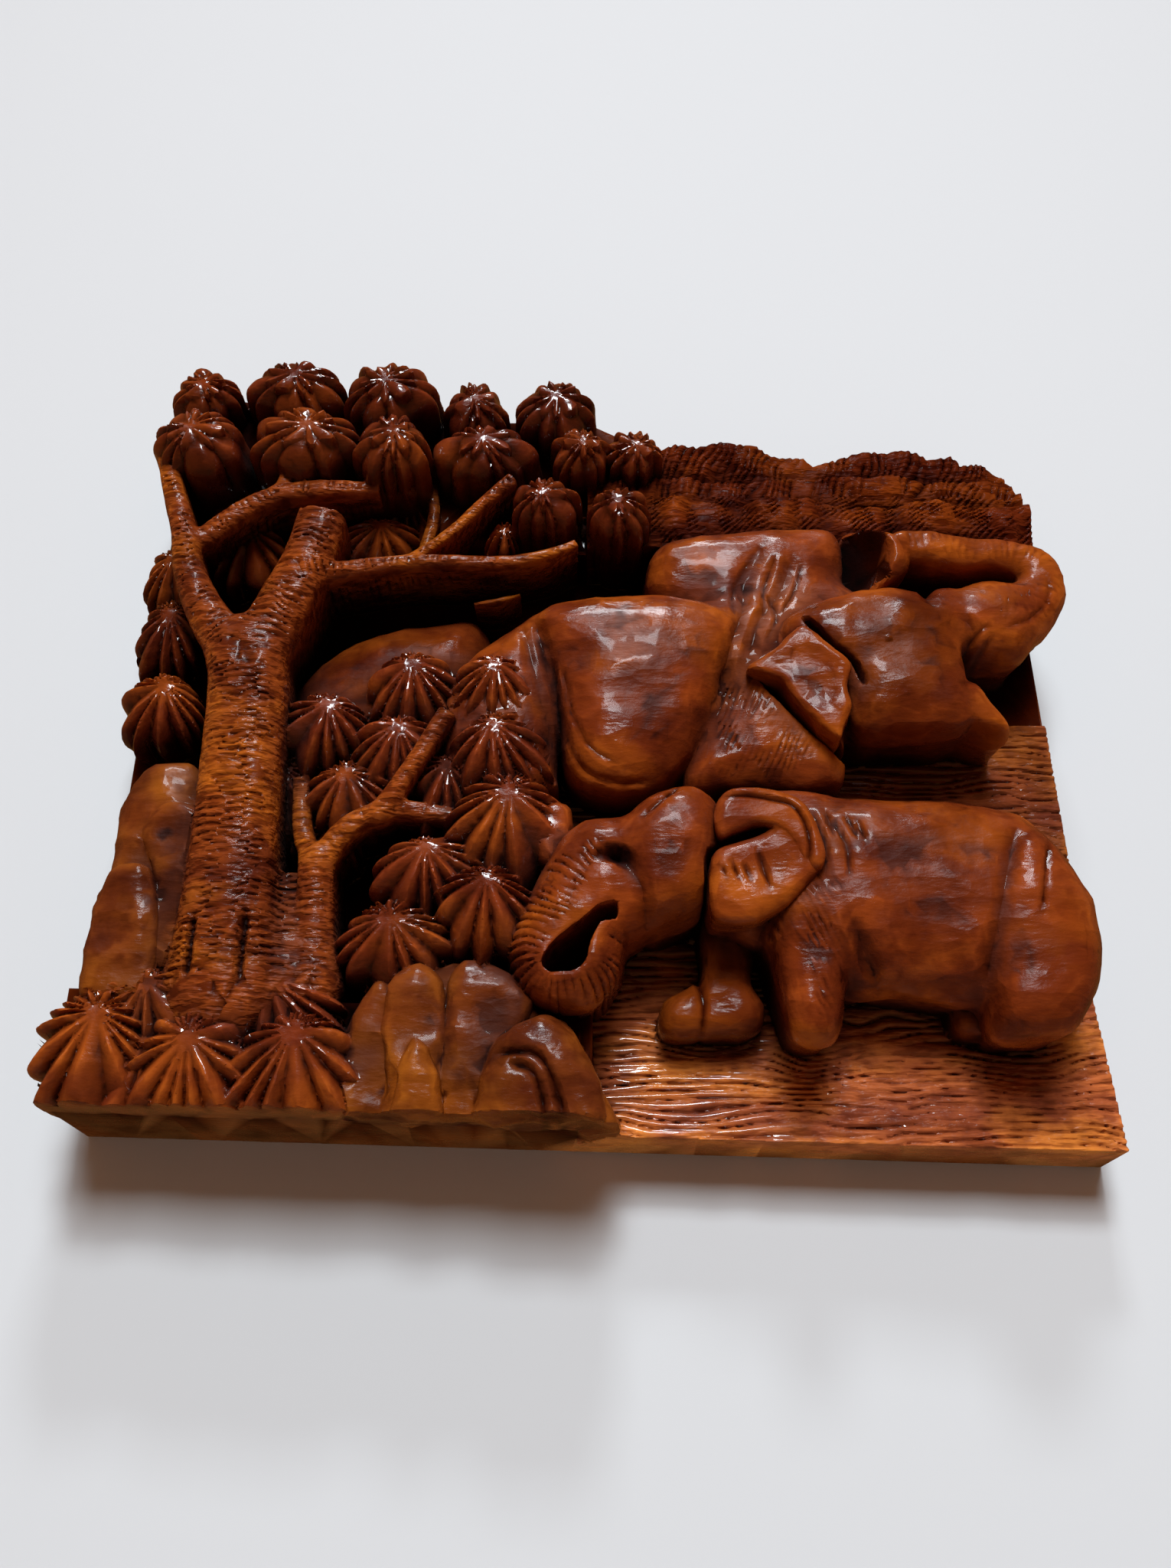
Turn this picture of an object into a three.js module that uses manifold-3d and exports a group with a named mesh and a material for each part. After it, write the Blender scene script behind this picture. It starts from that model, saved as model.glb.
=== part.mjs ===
// A carved wood wall panel: two elephants under a tree, in high relief, all cut from one thick board.
// Millimetres, +Z up, +X to the viewer's right. The flat back lies in the plane y = 0 and faces +Y,
// and the relief comes out towards -Y. "Rise" below is the distance in front of the back.

import * as THREE from 'three';
import { mergeVertices } from 'three/addons/utils/BufferGeometryUtils.js';
import Module from 'manifold-3d';

const wasm = await Module();
wasm.setup();

// The board.
const WIDTH = 300;
const BACK_CENTRE_HEIGHT = 136;
const LEFT_CORNER_HEIGHT = 9;
const FIELD_RISE = 13;
const ROOT_RISE = 4;

// The top edge of the board in true places, from the right corner to the left one.
const ARCHED_TOP = [
  [150, 238], [110, 246], [20, 248], [0, 262], [-50, 262], [-56, 270], [-130, 272], [-150, 262],
];

// The thicker stock left standing behind the leaves, the woods and the bushes, in true places.
const STOCK = [
  { outline: [[-148, 228], [-58, 222], [-54, 268], [-132, 270], [-148, 258]], rise: 26 },
  { outline: [[-60, 208], [24, 198], [26, 244], [-2, 260], [-58, 260]], rise: 26 },
  { outline: [[4, 200], [149, 200], [149, 236], [110, 244], [4, 246]], rise: 20 },
  { outline: [[-150, 9], [0, 0], [0, 36], [-150, 44]], rise: 34 },
];

// The viewing point, below the middle of the panel and in front of it. The places of the carved forms
// are given as that eye sees them against a plane MEASURING_RISE in front of the back, and each form
// is then slid along its line of sight to its own depth.
const EYE = { x: -2, z: -76.9, rise: 405.6 };
const MEASURING_RISE = 40;

// A swelling form: how many sides it has, and how much of its outline is left at each part of its lift.
const PILLOW_SIDES = 13;
const ROCK_SIDES = 8;
const PILLOW_PROFILE = [[0.94, 0.45], [0.78, 0.78], [0.48, 0.96]];

// A limb has more faces across its front when its radius is larger than this. Its tip is a little narrower.
const THICK_LIMB = 6;
const THICK_LIMB_FACES = 5;
const THIN_LIMB_FACES = 3;
const TIP_SHARE = 0.7;

// The leaves of a bush, the size of its rings as a share of its half width, and the lift of its shoulder.
const LEAVES_PER_BUSH = 6;
const LEAF_VALLEY = 0.8;
const BUSH_ROOT = 0.85;
const BUSH_WAIST = 1.05;
const BUSH_SHOULDER = 0.74;
const BUSH_SHOULDER_LIFT = 0.7;

// The front edge of a plate is cut off this deep and this wide.
const PLATE_EDGE_DEPTH = 2;
const PLATE_EDGE_WIDTH = 1.4;

// Points nearer than this are one point, before and after the forms are joined.
const SAME_POINT = 1e-4;
const SAME_JOINED_POINT = 1e-5;

// The wood.
const WOOD = { color: 0x7d3a1a, roughness: 0.35, metalness: 0 };

// Bushes of pointed leaves: x, z, half width, half height, rise of the middle, rise of the front.
const CROWN = [
  [-132, 257, 13, 12, 34, 45],
  [-103, 260, 17, 12, 36, 48],
  [-70, 258, 16, 13, 36, 48],
  [-132, 236, 16, 14, 39, 52],
  [-101, 237, 17, 13, 41, 54],
  [-70, 235, 14, 14, 41, 54],
  [-37, 252, 13, 11, 34, 44],
  [-12, 251, 14, 12, 34, 45],
  [-34, 231, 19, 11, 38, 49],
  [-5, 234, 12, 10, 36, 46],
  [13, 236, 11, 9, 33, 42],
  [-15, 212, 13, 12, 39, 51],
  [11, 209, 14, 11, 40, 52],
];
const BEHIND_BRANCHES = [
  [-68, 196, 11, 9, 22, 31],
  [-29, 193, 5, 7, 24, 34],
  [-113, 190, 13, 14, 18, 27],
  [-132, 131, 11, 10, 22, 33],
  [-134, 158, 8, 14, 18, 27],
  [-135, 180, 8, 10, 18, 27],
];
const THICKET = [
  [-55, 136, 13, 12, 32, 43],
  [-31, 136, 11, 11, 38, 48],
  [-82, 122, 12, 11, 29, 40],
  [-59, 115, 12, 11, 32, 43],
  [-28, 115, 13, 12, 38, 48],
  [-72, 100, 11, 10, 29, 40],
  [-44, 102, 8, 11, 31, 42],
  [-94, 99, 9, 16, 20, 32],
  [-25.5, 90, 15, 15, 36, 48],
  [-47, 75, 15, 11, 34, 45],
  [-30.5, 64, 12, 13, 37, 48],
  [-56, 54, 14, 12, 33, 44],
];
const FOREGROUND = [
  [-138, 24, 15, 14, 34, 46],
  [-109, 21, 14, 14, 35, 47],
  [-80, 18, 16, 15, 36, 49],
  [-124, 37, 14, 8, 33, 42],
  [-90, 35, 17, 9, 33, 42],
];

// Limbs: x, z, rise of the middle, radius.
const BIG_TREE = [
  [-100, 40, 30, 18],
  [-102, 58, 34, 14],
  [-104, 80, 37, 11.5],
  [-106, 110, 38, 11],
  [-107, 138, 39, 11.5],
  [-110, 152, 39, 11],
];
const TREE_BASE = [
  [-89, 44, 28, 14],
  [-87, 62, 29, 11],
  [-86, 72, 28, 8],
];
const BIG_TREE_LIMBS = [
  [[-114, 152, 40, 8], [-127, 172, 42, 6], [-132, 188, 43, 5], [-138, 206, 43, 4.5], [-144, 230, 43, 4]],
  [[-106, 150, 40, 9.5], [-100, 170, 42, 8.5], [-94, 190, 43, 7.8], [-90, 207, 44, 7.5]],
  [[-92, 179, 43, 5], [-75, 185, 43, 3.8], [-60, 187.5, 42, 3.3], [-30, 186, 41, 2.8], [-4, 196, 40, 2.4]],
  [[-60, 189, 42, 2.4], [-46, 200, 43, 2.6], [-25, 223, 44, 2]],
  [[-130, 195, 42, 3], [-110, 213, 43, 3.4], [-95, 218, 43, 3.2], [-72, 218, 43, 2.4]],
  [[-108, 212, 43, 2.6], [-103, 226, 44, 2.2]],
  [[-53, 192, 36, 2.8], [-52, 216, 38, 2.4]],
  [[-42, 170, 34, 3.4], [-18, 178, 32, 2.4]],
];
const SMALL_TREE_LIMBS = [
  [[-80, 42, 34, 5.5], [-81, 60, 36, 4.4], [-81, 80, 38, 4.4]],
  [[-81, 78, 38, 3.4], [-86, 90, 36, 3], [-88, 108, 34, 2.6]],
  [[-81, 78, 38, 4], [-73, 91, 39, 3.8], [-60, 97, 40, 3.4], [-42, 95, 40, 2.8]],
  [[-64, 96, 39, 3.4], [-54, 112, 37, 3], [-44, 134, 35, 3.4]],
];

// Rocks: x, z, half width, half height, turn in degrees, rise of the wall, rise of the front.
const ROCKS = [
  [-130, 80, 13, 36, -4, 24, 38],
  [-136, 62, 9, 19, 4, 30, 42],
  [-56, 26, 17, 22, 0, 34, 44],
  [-29, 36, 14, 14, 0, 34, 45],
  [-15, 14, 18, 18, 0, 36, 47],
];

// The elephant in front, which walks to the left. Each swelling form has an outline, the rise at
// which its edge starts to round over, and the rise of its front.
const FRONT_FORMS = [
  {
    outline: [
      [54, 84], [66, 97], [84, 101], [104, 101], [120, 99], [132, 92], [140, 81], [144, 68],
      [145, 54], [142, 42], [128, 35], [106, 34], [86, 39], [68, 45], [55, 60],
    ],
    wall: 27,
    front: 55,
  },
  {
    outline: [[36, 88], [46, 98], [64, 100], [76, 92], [76, 62], [66, 46], [50, 48], [38, 60]],
    wall: 27,
    front: 49,
  },
  {
    outline: [
      [9, 90], [13, 99], [23, 104], [34, 102], [41, 92], [39, 78], [36, 67], [27, 61], [14, 62], [11, 74],
    ],
    wall: 31,
    front: 56,
  },
  {
    outline: [[24, 92], [4, 95], [-6, 91], [-13, 80], [-20, 68], [-18, 57], [-6, 60], [3, 67], [16, 74]],
    wall: 31,
    front: 53,
  },
];
const FRONT_LIMBS = [
  [[-8, 68, 38, 11], [-15, 57, 39, 9], [-18, 49, 40, 6.5], [-13, 41.5, 40, 5]],
  [[-13, 41.5, 40, 5], [-5, 40.5, 40, 4.8], [2, 45, 40, 5], [5, 53, 39, 4.8], [5, 60, 37, 4.6]],
  [[-14, 79, 40, 4.2], [-10, 90, 42, 3.9], [-9, 97, 42, 3.6]],
  [[62, 68, 38, 13], [62, 50, 40, 10.5], [62, 40, 40, 9], [62, 31, 40, 8]],
  [[38, 56, 26, 8], [38, 36, 26, 8]],
  [[34, 35, 24, 6], [25, 34.5, 23, 6]],
  [[124, 64, 34, 17], [123, 46, 36, 14], [122, 33, 36, 13]],
  [[104, 40, 18, 6], [104, 31, 20, 6]],
];
const FRONT_EAR = {
  flap: [[35, 63], [34, 73], [37, 84], [47, 87], [54, 92], [58, 90], [67, 79], [57, 70], [49, 64]],
  band: [
    [38, 94], [40, 102], [50, 105], [61, 103], [66, 96], [68, 86], [67, 79], [61, 82], [60, 92], [54, 93],
  ],
  root: 34,
  front: 58,
};

// The elephant behind, which walks to the right with its trunk thrown back over its head.
const BACK_FORMS = [
  {
    outline: [
      [-96, 126], [-93, 142], [-84, 155], [-68, 163], [-50, 166], [-34, 160], [-34, 124], [-50, 100], [-82, 100],
    ],
    wall: 14,
    front: 33,
  },
  {
    outline: [[-44, 142], [-32, 156], [-12, 165], [2, 156], [-2, 124], [-12, 101], [-32, 102], [-46, 118]],
    wall: 20,
    front: 43,
  },
  {
    outline: [
      [-10, 162], [6, 169], [26, 170], [40, 167], [47, 152], [43, 134], [30, 114], [10, 107], [-6, 111],
      [-12, 128], [-13, 148],
    ],
    wall: 26,
    front: 51,
  },
  {
    outline: [
      [42, 168], [60, 164], [74, 142], [78, 118], [64, 104], [42, 102], [24, 106], [32, 126], [40, 148],
    ],
    wall: 20,
    front: 45,
  },
  {
    outline: [[36, 172], [42, 192], [62, 196], [80, 184], [86, 166], [74, 150], [52, 152], [40, 160]],
    wall: 18,
    front: 41,
  },
  {
    outline: [
      [84, 164], [90, 173], [102, 176], [115, 174], [121, 162], [118, 144], [122, 128], [112, 119],
      [92, 119], [82, 127], [83, 146],
    ],
    wall: 26,
    front: 51,
  },
];
const BACK_LIMBS = [
  [[136, 184, 18, 11], [100, 189, 20, 11], [60, 190, 22, 11], [31, 187, 22, 11]],
  [[114, 160, 34, 12], [130, 160, 37, 10.5], [142, 168, 39, 8.8], [146, 180, 40, 7.6]],
  [[146, 180, 40, 7.6], [140, 187, 40, 6.8], [122, 189.5, 40, 6.4], [100, 190.5, 40, 7.4], [89, 191, 40, 10]],
  [[118, 138, 36, 5.5], [128, 125, 38, 1.6]],
  [[-16, 124, 26, 5], [-15, 100, 28, 3]],
];
const BACK_EAR = {
  flap: [[64, 146], [70, 158], [76, 151], [82, 147], [81, 137], [77, 122], [69, 129], [61, 141]],
  lobe: [[51, 149], [56, 156], [60, 167], [69, 171], [80, 170], [74, 162], [69, 156], [64, 146], [60, 143]],
  root: 30,
  front: 53,
};

// The woods along the skyline, in rows one behind the other: x from end to end, foot, top and front.
const TUFT_PITCH = 11.5;
const TUFT_NOTCH = 4.5;
const TUFT_UNEVENNESS = 2;
const TUFT_WAVE = 2.4;
const WOODS = [
  { from: 18, to: 142, foot: 200, top: 216, front: 35 },
  { from: 20, to: 143, foot: 214, top: 231, front: 30 },
  { from: 14, to: 140, foot: 229, top: 243, front: 25 },
];

// The ground, with long grooves that run across.
const GROUND = { from: -20, foot: -2, top: 46, topRise: 16, frontRise: 23, grooves: 8, depth: 1.3 };

// How much larger or smaller a form is at its own depth than on the measuring plane.
function sightScale(rise) {
  return (EYE.rise - rise) / (EYE.rise - MEASURING_RISE);
}

// A place on the measuring plane, slid along its line of sight to the given rise.
function place(x, z, rise) {
  const scale = sightScale(rise);
  return new THREE.Vector3(EYE.x + (x - EYE.x) * scale, -rise, EYE.z + (z - EYE.z) * scale);
}

// The middle of a ring of points.
function middleOf(ring) {
  return ring.reduce((sum, point) => sum.add(point), new THREE.Vector3()).divideScalar(ring.length);
}

// A closed skin over rings of equal length, with a fan to one point at each end.
function loft(rings, startPoint, endPoint) {
  const sides = rings[0].length;
  const points = [...rings.flat(), startPoint, endPoint];
  const start = points.length - 2;
  const end = points.length - 1;
  const last = (rings.length - 1) * sides;
  const index = [];
  for (let side = 0; side < sides; side += 1) {
    const next = (side + 1) % sides;
    index.push(start, next, side);
    index.push(end, last + side, last + next);
    for (let ring = 0; ring < last; ring += sides) {
      index.push(ring + side, ring + next, ring + sides + next);
      index.push(ring + side, ring + sides + next, ring + sides + side);
    }
  }
  const geometry = new THREE.BufferGeometry();
  geometry.setAttribute('position', new THREE.Float32BufferAttribute(points.flatMap((p) => p.toArray()), 3));
  geometry.setIndex(index);
  return geometry;
}

// Six times the volume that a mesh encloses, negative when its faces point inwards.
function signedVolume(position, index) {
  const [a, b, c] = [new THREE.Vector3(), new THREE.Vector3(), new THREE.Vector3()];
  let sum = 0;
  for (let i = 0; i < index.length; i += 3) {
    a.fromBufferAttribute(position, index[i]);
    b.fromBufferAttribute(position, index[i + 1]);
    c.fromBufferAttribute(position, index[i + 2]);
    sum += a.dot(b.cross(c));
  }
  return sum;
}

// The solid inside a closed geometry.
function solidOf(geometry) {
  geometry.deleteAttribute('normal');
  geometry.deleteAttribute('uv');
  const merged = mergeVertices(geometry, SAME_POINT);
  const index = Array.from(merged.index.array);
  if (signedVolume(merged.attributes.position, index) < 0) {
    index.reverse();
  }
  const mesh = new wasm.Mesh({
    numProp: 3,
    vertProperties: new Float32Array(merged.attributes.position.array),
    triVerts: new Uint32Array(index),
  });
  return new wasm.Manifold(mesh);
}

// A swelling form: straight walls out of the board, which round over to a full front.
function pillow({ outline, wall, front, sides = PILLOW_SIDES }) {
  const edge = outline.map(([x, z]) => place(x, z, wall));
  const middle = middleOf(edge);
  const curve = new THREE.CatmullRomCurve3(edge, true);
  const rim = curve.getSpacedPoints(sides).slice(0, sides);
  const ringAt = (size, rise) =>
    rim.map((point) => {
      const inward = middle.clone().lerp(point, size);
      inward.y = -rise;
      return inward;
    });
  const sections = [ringAt(1, ROOT_RISE), ringAt(1, wall)];
  for (const [size, lift] of PILLOW_PROFILE) {
    sections.push(ringAt(size, wall + (front - wall) * lift));
  }
  return loft(
    sections,
    new THREE.Vector3(middle.x, -ROOT_RISE, middle.z),
    new THREE.Vector3(middle.x, -front, middle.z),
  );
}

// A rock: a swelling form with an oval outline and few, flat faces.
function rock([x, z, wide, tall, turn, wall, front]) {
  const angle = THREE.MathUtils.degToRad(turn);
  const outline = Array.from({ length: ROCK_SIDES }, (_, side) => {
    const around = (2 * Math.PI * side) / ROCK_SIDES;
    const u = wide * Math.cos(around);
    const v = tall * Math.sin(around);
    return [x + u * Math.cos(angle) - v * Math.sin(angle), z + u * Math.sin(angle) + v * Math.cos(angle)];
  });
  return pillow({ outline, wall, front, sides: ROCK_SIDES });
}

// A bush: a dome of pointed leaves that fold down from the middle of its front.
function bush([x, z, wide, tall, middleRise, front]) {
  const middle = place(x, z, middleRise);
  const scale = sightScale(middleRise);
  const sides = 2 * LEAVES_PER_BUSH;
  const ringAt = (size, rise, valley) =>
    Array.from({ length: sides }, (_, side) => {
      const around = (2 * Math.PI * side) / sides + x;
      const reach = size * scale * (side % 2 === 0 ? 1 : valley);
      return new THREE.Vector3(
        middle.x + wide * reach * Math.cos(around),
        -rise,
        middle.z + tall * reach * Math.sin(around),
      );
    });
  const height = front - middleRise;
  const sections = [
    ringAt(BUSH_ROOT, ROOT_RISE, 1),
    ringAt(BUSH_WAIST, middleRise, LEAF_VALLEY),
    ringAt(BUSH_SHOULDER, middleRise + BUSH_SHOULDER_LIFT * height, LEAF_VALLEY),
  ];
  return loft(
    sections,
    new THREE.Vector3(middle.x, -ROOT_RISE, middle.z),
    new THREE.Vector3(middle.x, -front, middle.z),
  );
}

// A limb along a line of places, from its root to its rounded tip: round in front, with straight
// walls back into the board.
function limb(stations) {
  const faces = stations[0][3] > THICK_LIMB ? THICK_LIMB_FACES : THIN_LIMB_FACES;
  const stops = stations.map(([x, z, rise, radius]) => ({
    middle: place(x, z, rise),
    rise,
    radius: radius * sightScale(rise),
  }));
  const flatWay = (from, to) => {
    const way = to.middle.clone().sub(from.middle);
    way.y = 0;
    return way.normalize();
  };
  const tip = stops[stops.length - 1];
  const roundedTip = {
    middle: tip.middle.clone().addScaledVector(flatWay(stops[stops.length - 2], tip), TIP_SHARE * tip.radius),
    rise: tip.rise,
    radius: TIP_SHARE * tip.radius,
  };
  const run = [...stops, roundedTip];
  const sections = run.map((stop, i) => {
    const before = run[Math.max(i - 1, 0)];
    const after = run[Math.min(i + 1, run.length - 1)];
    const way = flatWay(before, after);
    const across = new THREE.Vector3(way.z, 0, -way.x);
    const ring = [];
    for (let step = 0; step <= faces; step += 1) {
      const around = (Math.PI * step) / faces;
      const point = stop.middle.clone().addScaledVector(across, stop.radius * Math.cos(around));
      point.y = -(stop.rise + stop.radius * Math.sin(around));
      ring.push(point);
    }
    for (const side of [-1, 1]) {
      const foot = stop.middle.clone().addScaledVector(across, side * stop.radius);
      foot.y = -ROOT_RISE;
      ring.push(foot);
    }
    return ring;
  });
  return loft(sections, middleOf(sections[0]), middleOf(sections[sections.length - 1]));
}

// A flat-fronted form with a given outline, from one rise to another, with its front edge rounded off.
function plate(outline, root, front) {
  const shape = new THREE.Shape(outline.map(([x, z]) => {
    const point = place(x, z, front);
    return new THREE.Vector2(point.x, point.z);
  }));
  const geometry = new THREE.ExtrudeGeometry(shape, {
    depth: front - root - PLATE_EDGE_DEPTH,
    bevelEnabled: true,
    bevelThickness: PLATE_EDGE_DEPTH,
    bevelSize: PLATE_EDGE_WIDTH,
    bevelOffset: -PLATE_EDGE_WIDTH,
    bevelSegments: 1,
  });
  geometry.translate(0, 0, root);
  geometry.rotateX(Math.PI / 2);
  return geometry;
}

// A slab with an outline given in true places, from the back to the given rise.
function slab(outline, rise) {
  const shape = new THREE.Shape(outline.map(([x, z]) => new THREE.Vector2(x, z)));
  const geometry = new THREE.ExtrudeGeometry(shape, { depth: rise, bevelEnabled: false });
  geometry.rotateX(Math.PI / 2);
  return geometry;
}

// The board itself, with its arched top over the tree, and the thicker stock left behind the leaves.
function board() {
  const half = WIDTH / 2;
  const outline = [[-half, LEFT_CORNER_HEIGHT], [half, 0], ...ARCHED_TOP];
  return [slab(outline, FIELD_RISE), ...STOCK.map((stock) => slab(stock.outline, stock.rise))];
}

// The ground in front of the elephants, which falls back as it rises and is cut with long grooves.
function ground() {
  const { from, foot, top, topRise, frontRise, grooves, depth } = GROUND;
  const outline = [new THREE.Vector2(ROOT_RISE, top), new THREE.Vector2(ROOT_RISE, foot)];
  for (let groove = 0; groove <= 2 * grooves; groove += 1) {
    const along = groove / (2 * grooves);
    const rise = frontRise + (topRise - frontRise) * along;
    outline.push(new THREE.Vector2(rise - (groove % 2) * depth, foot + (top - foot) * along));
  }
  const geometry = new THREE.ExtrudeGeometry(new THREE.Shape(outline), {
    depth: WIDTH / 2 - from,
    bevelEnabled: false,
  });
  const toPanel = new THREE.Matrix4().makeBasis(
    new THREE.Vector3(0, -1, 0),
    new THREE.Vector3(0, 0, 1),
    new THREE.Vector3(1, 0, 0),
  );
  geometry.applyMatrix4(toPanel.premultiply(new THREE.Matrix4().makeTranslation(from, 0, 0)));
  return geometry;
}

// One row of the woods: upright tufts with notches between them and an uneven top.
function woodsRow({ from, to, foot, top, front }) {
  const steps = 2 * Math.round((to - from) / TUFT_PITCH);
  const sections = Array.from({ length: steps + 1 }, (_, step) => {
    const x = from + ((to - from) * step) / steps;
    const notch = step % 2;
    const rise = front - notch * TUFT_NOTCH;
    const crest = top + TUFT_UNEVENNESS * Math.sin(TUFT_WAVE * step) - notch;
    const low = place(x, foot, rise);
    const high = place(x, crest, rise);
    return [
      new THREE.Vector3(low.x, -ROOT_RISE, low.z),
      low,
      high,
      new THREE.Vector3(high.x, -ROOT_RISE, high.z),
    ];
  });
  return loft(sections, middleOf(sections[0]), middleOf(sections[steps]));
}

// Everything that is above the sloping cut along the bottom.
function cutBottom(solid) {
  const half = WIDTH;
  const slope = LEFT_CORNER_HEIGHT / WIDTH;
  const heightAt = (x) => slope * (WIDTH / 2 - x);
  const waste = new THREE.Shape([
    new THREE.Vector2(-half, heightAt(-half)),
    new THREE.Vector2(-half, -WIDTH),
    new THREE.Vector2(half, -WIDTH),
    new THREE.Vector2(half, heightAt(half)),
  ]);
  const geometry = new THREE.ExtrudeGeometry(waste, { depth: WIDTH, bevelEnabled: false });
  geometry.rotateX(Math.PI / 2);
  geometry.translate(0, WIDTH / 2, 0);
  return solid.subtract(solidOf(geometry));
}

// The outer skin of a solid, without any pocket that is sealed inside it.
function outerSkin(solid) {
  const mesh = solid.getMesh();
  const parent = Array.from({ length: mesh.numVert }, (_, i) => i);
  const find = (i) => {
    let root = i;
    while (parent[root] !== root) {
      root = parent[root];
    }
    return root;
  };
  for (let i = 0; i < mesh.triVerts.length; i += 3) {
    const a = find(mesh.triVerts[i]);
    parent[find(mesh.triVerts[i + 1])] = a;
    parent[find(mesh.triVerts[i + 2])] = a;
  }
  const shells = new Map();
  for (let i = 0; i < mesh.triVerts.length; i += 3) {
    const root = find(mesh.triVerts[i]);
    const shell = shells.get(root) ?? [];
    shell.push(mesh.triVerts[i], mesh.triVerts[i + 1], mesh.triVerts[i + 2]);
    shells.set(root, shell);
  }
  const largest = [...shells.values()].reduce((a, b) => (b.length > a.length ? b : a));
  const geometry = new THREE.BufferGeometry();
  const position = new THREE.Float32BufferAttribute(mesh.vertProperties, 3);
  geometry.setAttribute('position', position);
  geometry.setIndex(largest);
  return mergeVertices(geometry.toNonIndexed(), SAME_JOINED_POINT);
}

const pieces = [
  ...board(),
  ground(),
  ...WOODS.map(woodsRow),
  ...[...CROWN, ...BEHIND_BRANCHES, ...THICKET, ...FOREGROUND].map(bush),
  ...ROCKS.map(rock),
  limb(BIG_TREE),
  limb(TREE_BASE),
  ...BIG_TREE_LIMBS.map(limb),
  ...SMALL_TREE_LIMBS.map(limb),
  ...[...FRONT_FORMS, ...BACK_FORMS].map(pillow),
  ...[...FRONT_LIMBS, ...BACK_LIMBS].map(limb),
  plate(FRONT_EAR.flap, FRONT_EAR.root, FRONT_EAR.front),
  plate(FRONT_EAR.band, FRONT_EAR.root, FRONT_EAR.front),
  plate(BACK_EAR.flap, BACK_EAR.root, BACK_EAR.front),
  plate(BACK_EAR.lobe, BACK_EAR.root, BACK_EAR.front),
];

const whole = pieces.map(solidOf).reduce((joined, solid) => joined.add(solid));
const panel = new THREE.Mesh(outerSkin(cutBottom(whole)), new THREE.MeshStandardMaterial(WOOD));
panel.name = 'carved_panel';
panel.position.z = -BACK_CENTRE_HEIGHT;

const model = new THREE.Group();
model.add(panel);
export default model;
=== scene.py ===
"""Looks of a carved wood wall panel: two elephants under a tree, in high relief, cut from one thick board.

The relief is built as one field on a grid, negative inside the wood. The board and the viewing point are the
part's own, and the outlines follow its forms, apart from the skyline of the woods, which ends lower here. The
field is then meshed into one piece, which gets a lacquered wood finish and stands for the part. Lengths are
millimetres until the mesh is made. "Rise" is the distance in front of the flat back.
"""

import math

import bpy
import numpy as np
import openvdb
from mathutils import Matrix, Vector
from mathutils.geometry import tessellate_polygon


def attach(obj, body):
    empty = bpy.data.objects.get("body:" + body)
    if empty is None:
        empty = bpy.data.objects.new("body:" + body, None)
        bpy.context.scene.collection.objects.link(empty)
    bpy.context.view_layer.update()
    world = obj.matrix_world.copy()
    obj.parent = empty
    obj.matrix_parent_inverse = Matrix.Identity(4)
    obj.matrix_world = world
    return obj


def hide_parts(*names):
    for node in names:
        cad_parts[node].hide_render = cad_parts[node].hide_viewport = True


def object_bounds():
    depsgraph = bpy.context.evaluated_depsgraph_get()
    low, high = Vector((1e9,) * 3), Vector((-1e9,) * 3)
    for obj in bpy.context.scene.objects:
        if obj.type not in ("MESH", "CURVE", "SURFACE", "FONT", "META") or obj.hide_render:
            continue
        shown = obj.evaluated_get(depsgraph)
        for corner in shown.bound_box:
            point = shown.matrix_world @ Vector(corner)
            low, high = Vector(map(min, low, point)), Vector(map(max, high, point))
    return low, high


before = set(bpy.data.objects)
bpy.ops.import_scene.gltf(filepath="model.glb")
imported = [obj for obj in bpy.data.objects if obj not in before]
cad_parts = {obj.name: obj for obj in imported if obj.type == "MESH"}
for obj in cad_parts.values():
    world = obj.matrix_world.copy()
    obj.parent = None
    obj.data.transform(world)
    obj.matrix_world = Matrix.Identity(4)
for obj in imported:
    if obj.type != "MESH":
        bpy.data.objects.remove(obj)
CAD_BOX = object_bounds()

MM = 0.001
TAU = 2 * math.pi

# The board.
WIDTH = 300.0
BACK_CENTRE_HEIGHT = 136.0
LEFT_CORNER_HEIGHT = 9.0
FIELD_RISE = 13.0
LEFT = -WIDTH / 2
RIGHT = WIDTH / 2

# The board with its arched top over the tree, and the thicker stock left behind the leaves, under the woods
# and in the bottom left corner: an outline in true places and a rise for each.
STOCK = [
    (
        [
            (LEFT, 0), (RIGHT, -3), (RIGHT, 238), (110, 246), (20, 248), (0, 262), (-50, 262), (-56, 270),
            (-130, 272), (LEFT, 262),
        ],
        FIELD_RISE,
    ),
    ([(-148, 228), (-58, 222), (-54, 268), (-132, 270), (-148, 258)], 26),
    ([(-60, 208), (24, 198), (26, 244), (-2, 260), (-58, 260)], 26),
    ([(4, 200), (149, 200), (149, 232), (110, 240), (4, 242)], 20),
    ([(LEFT, -3), (0, -3), (0, 36), (LEFT, 44)], 34),
]

# The viewing point, below the middle of the panel and in front of it. Places of the carved forms are given
# as that eye sees them on a plane MEASURING_RISE in front of the back, and each form is then slid along its
# line of sight to its own depth.
EYE_X = -2.0
EYE_Z = -76.9
EYE_RISE = 405.6
MEASURING_RISE = 40.0

# The grid on which the relief is built: the size of its cells, its lowest and highest x, rise and z, the
# value far outside the wood, and how far past a form its block of the grid goes.
STEP = 0.55
GRID_LOW = (-158.0, -2.0, -3.0)
GRID_HIGH = (156.0, 61.0, 279.0)
OUTSIDE = 8.0
MARGIN = 5.0

# Hollows are measured on a grid with cells this many times larger.
COARSE = 2

# The mesh: its number of triangles, and the angle in degrees above which an edge is sharp.
TRIANGLES = 198000
SHARP_ANGLE = 32

# How far inside the part's own box the mesh stays, in metres.
BOX_GAP = 0.00001

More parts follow.
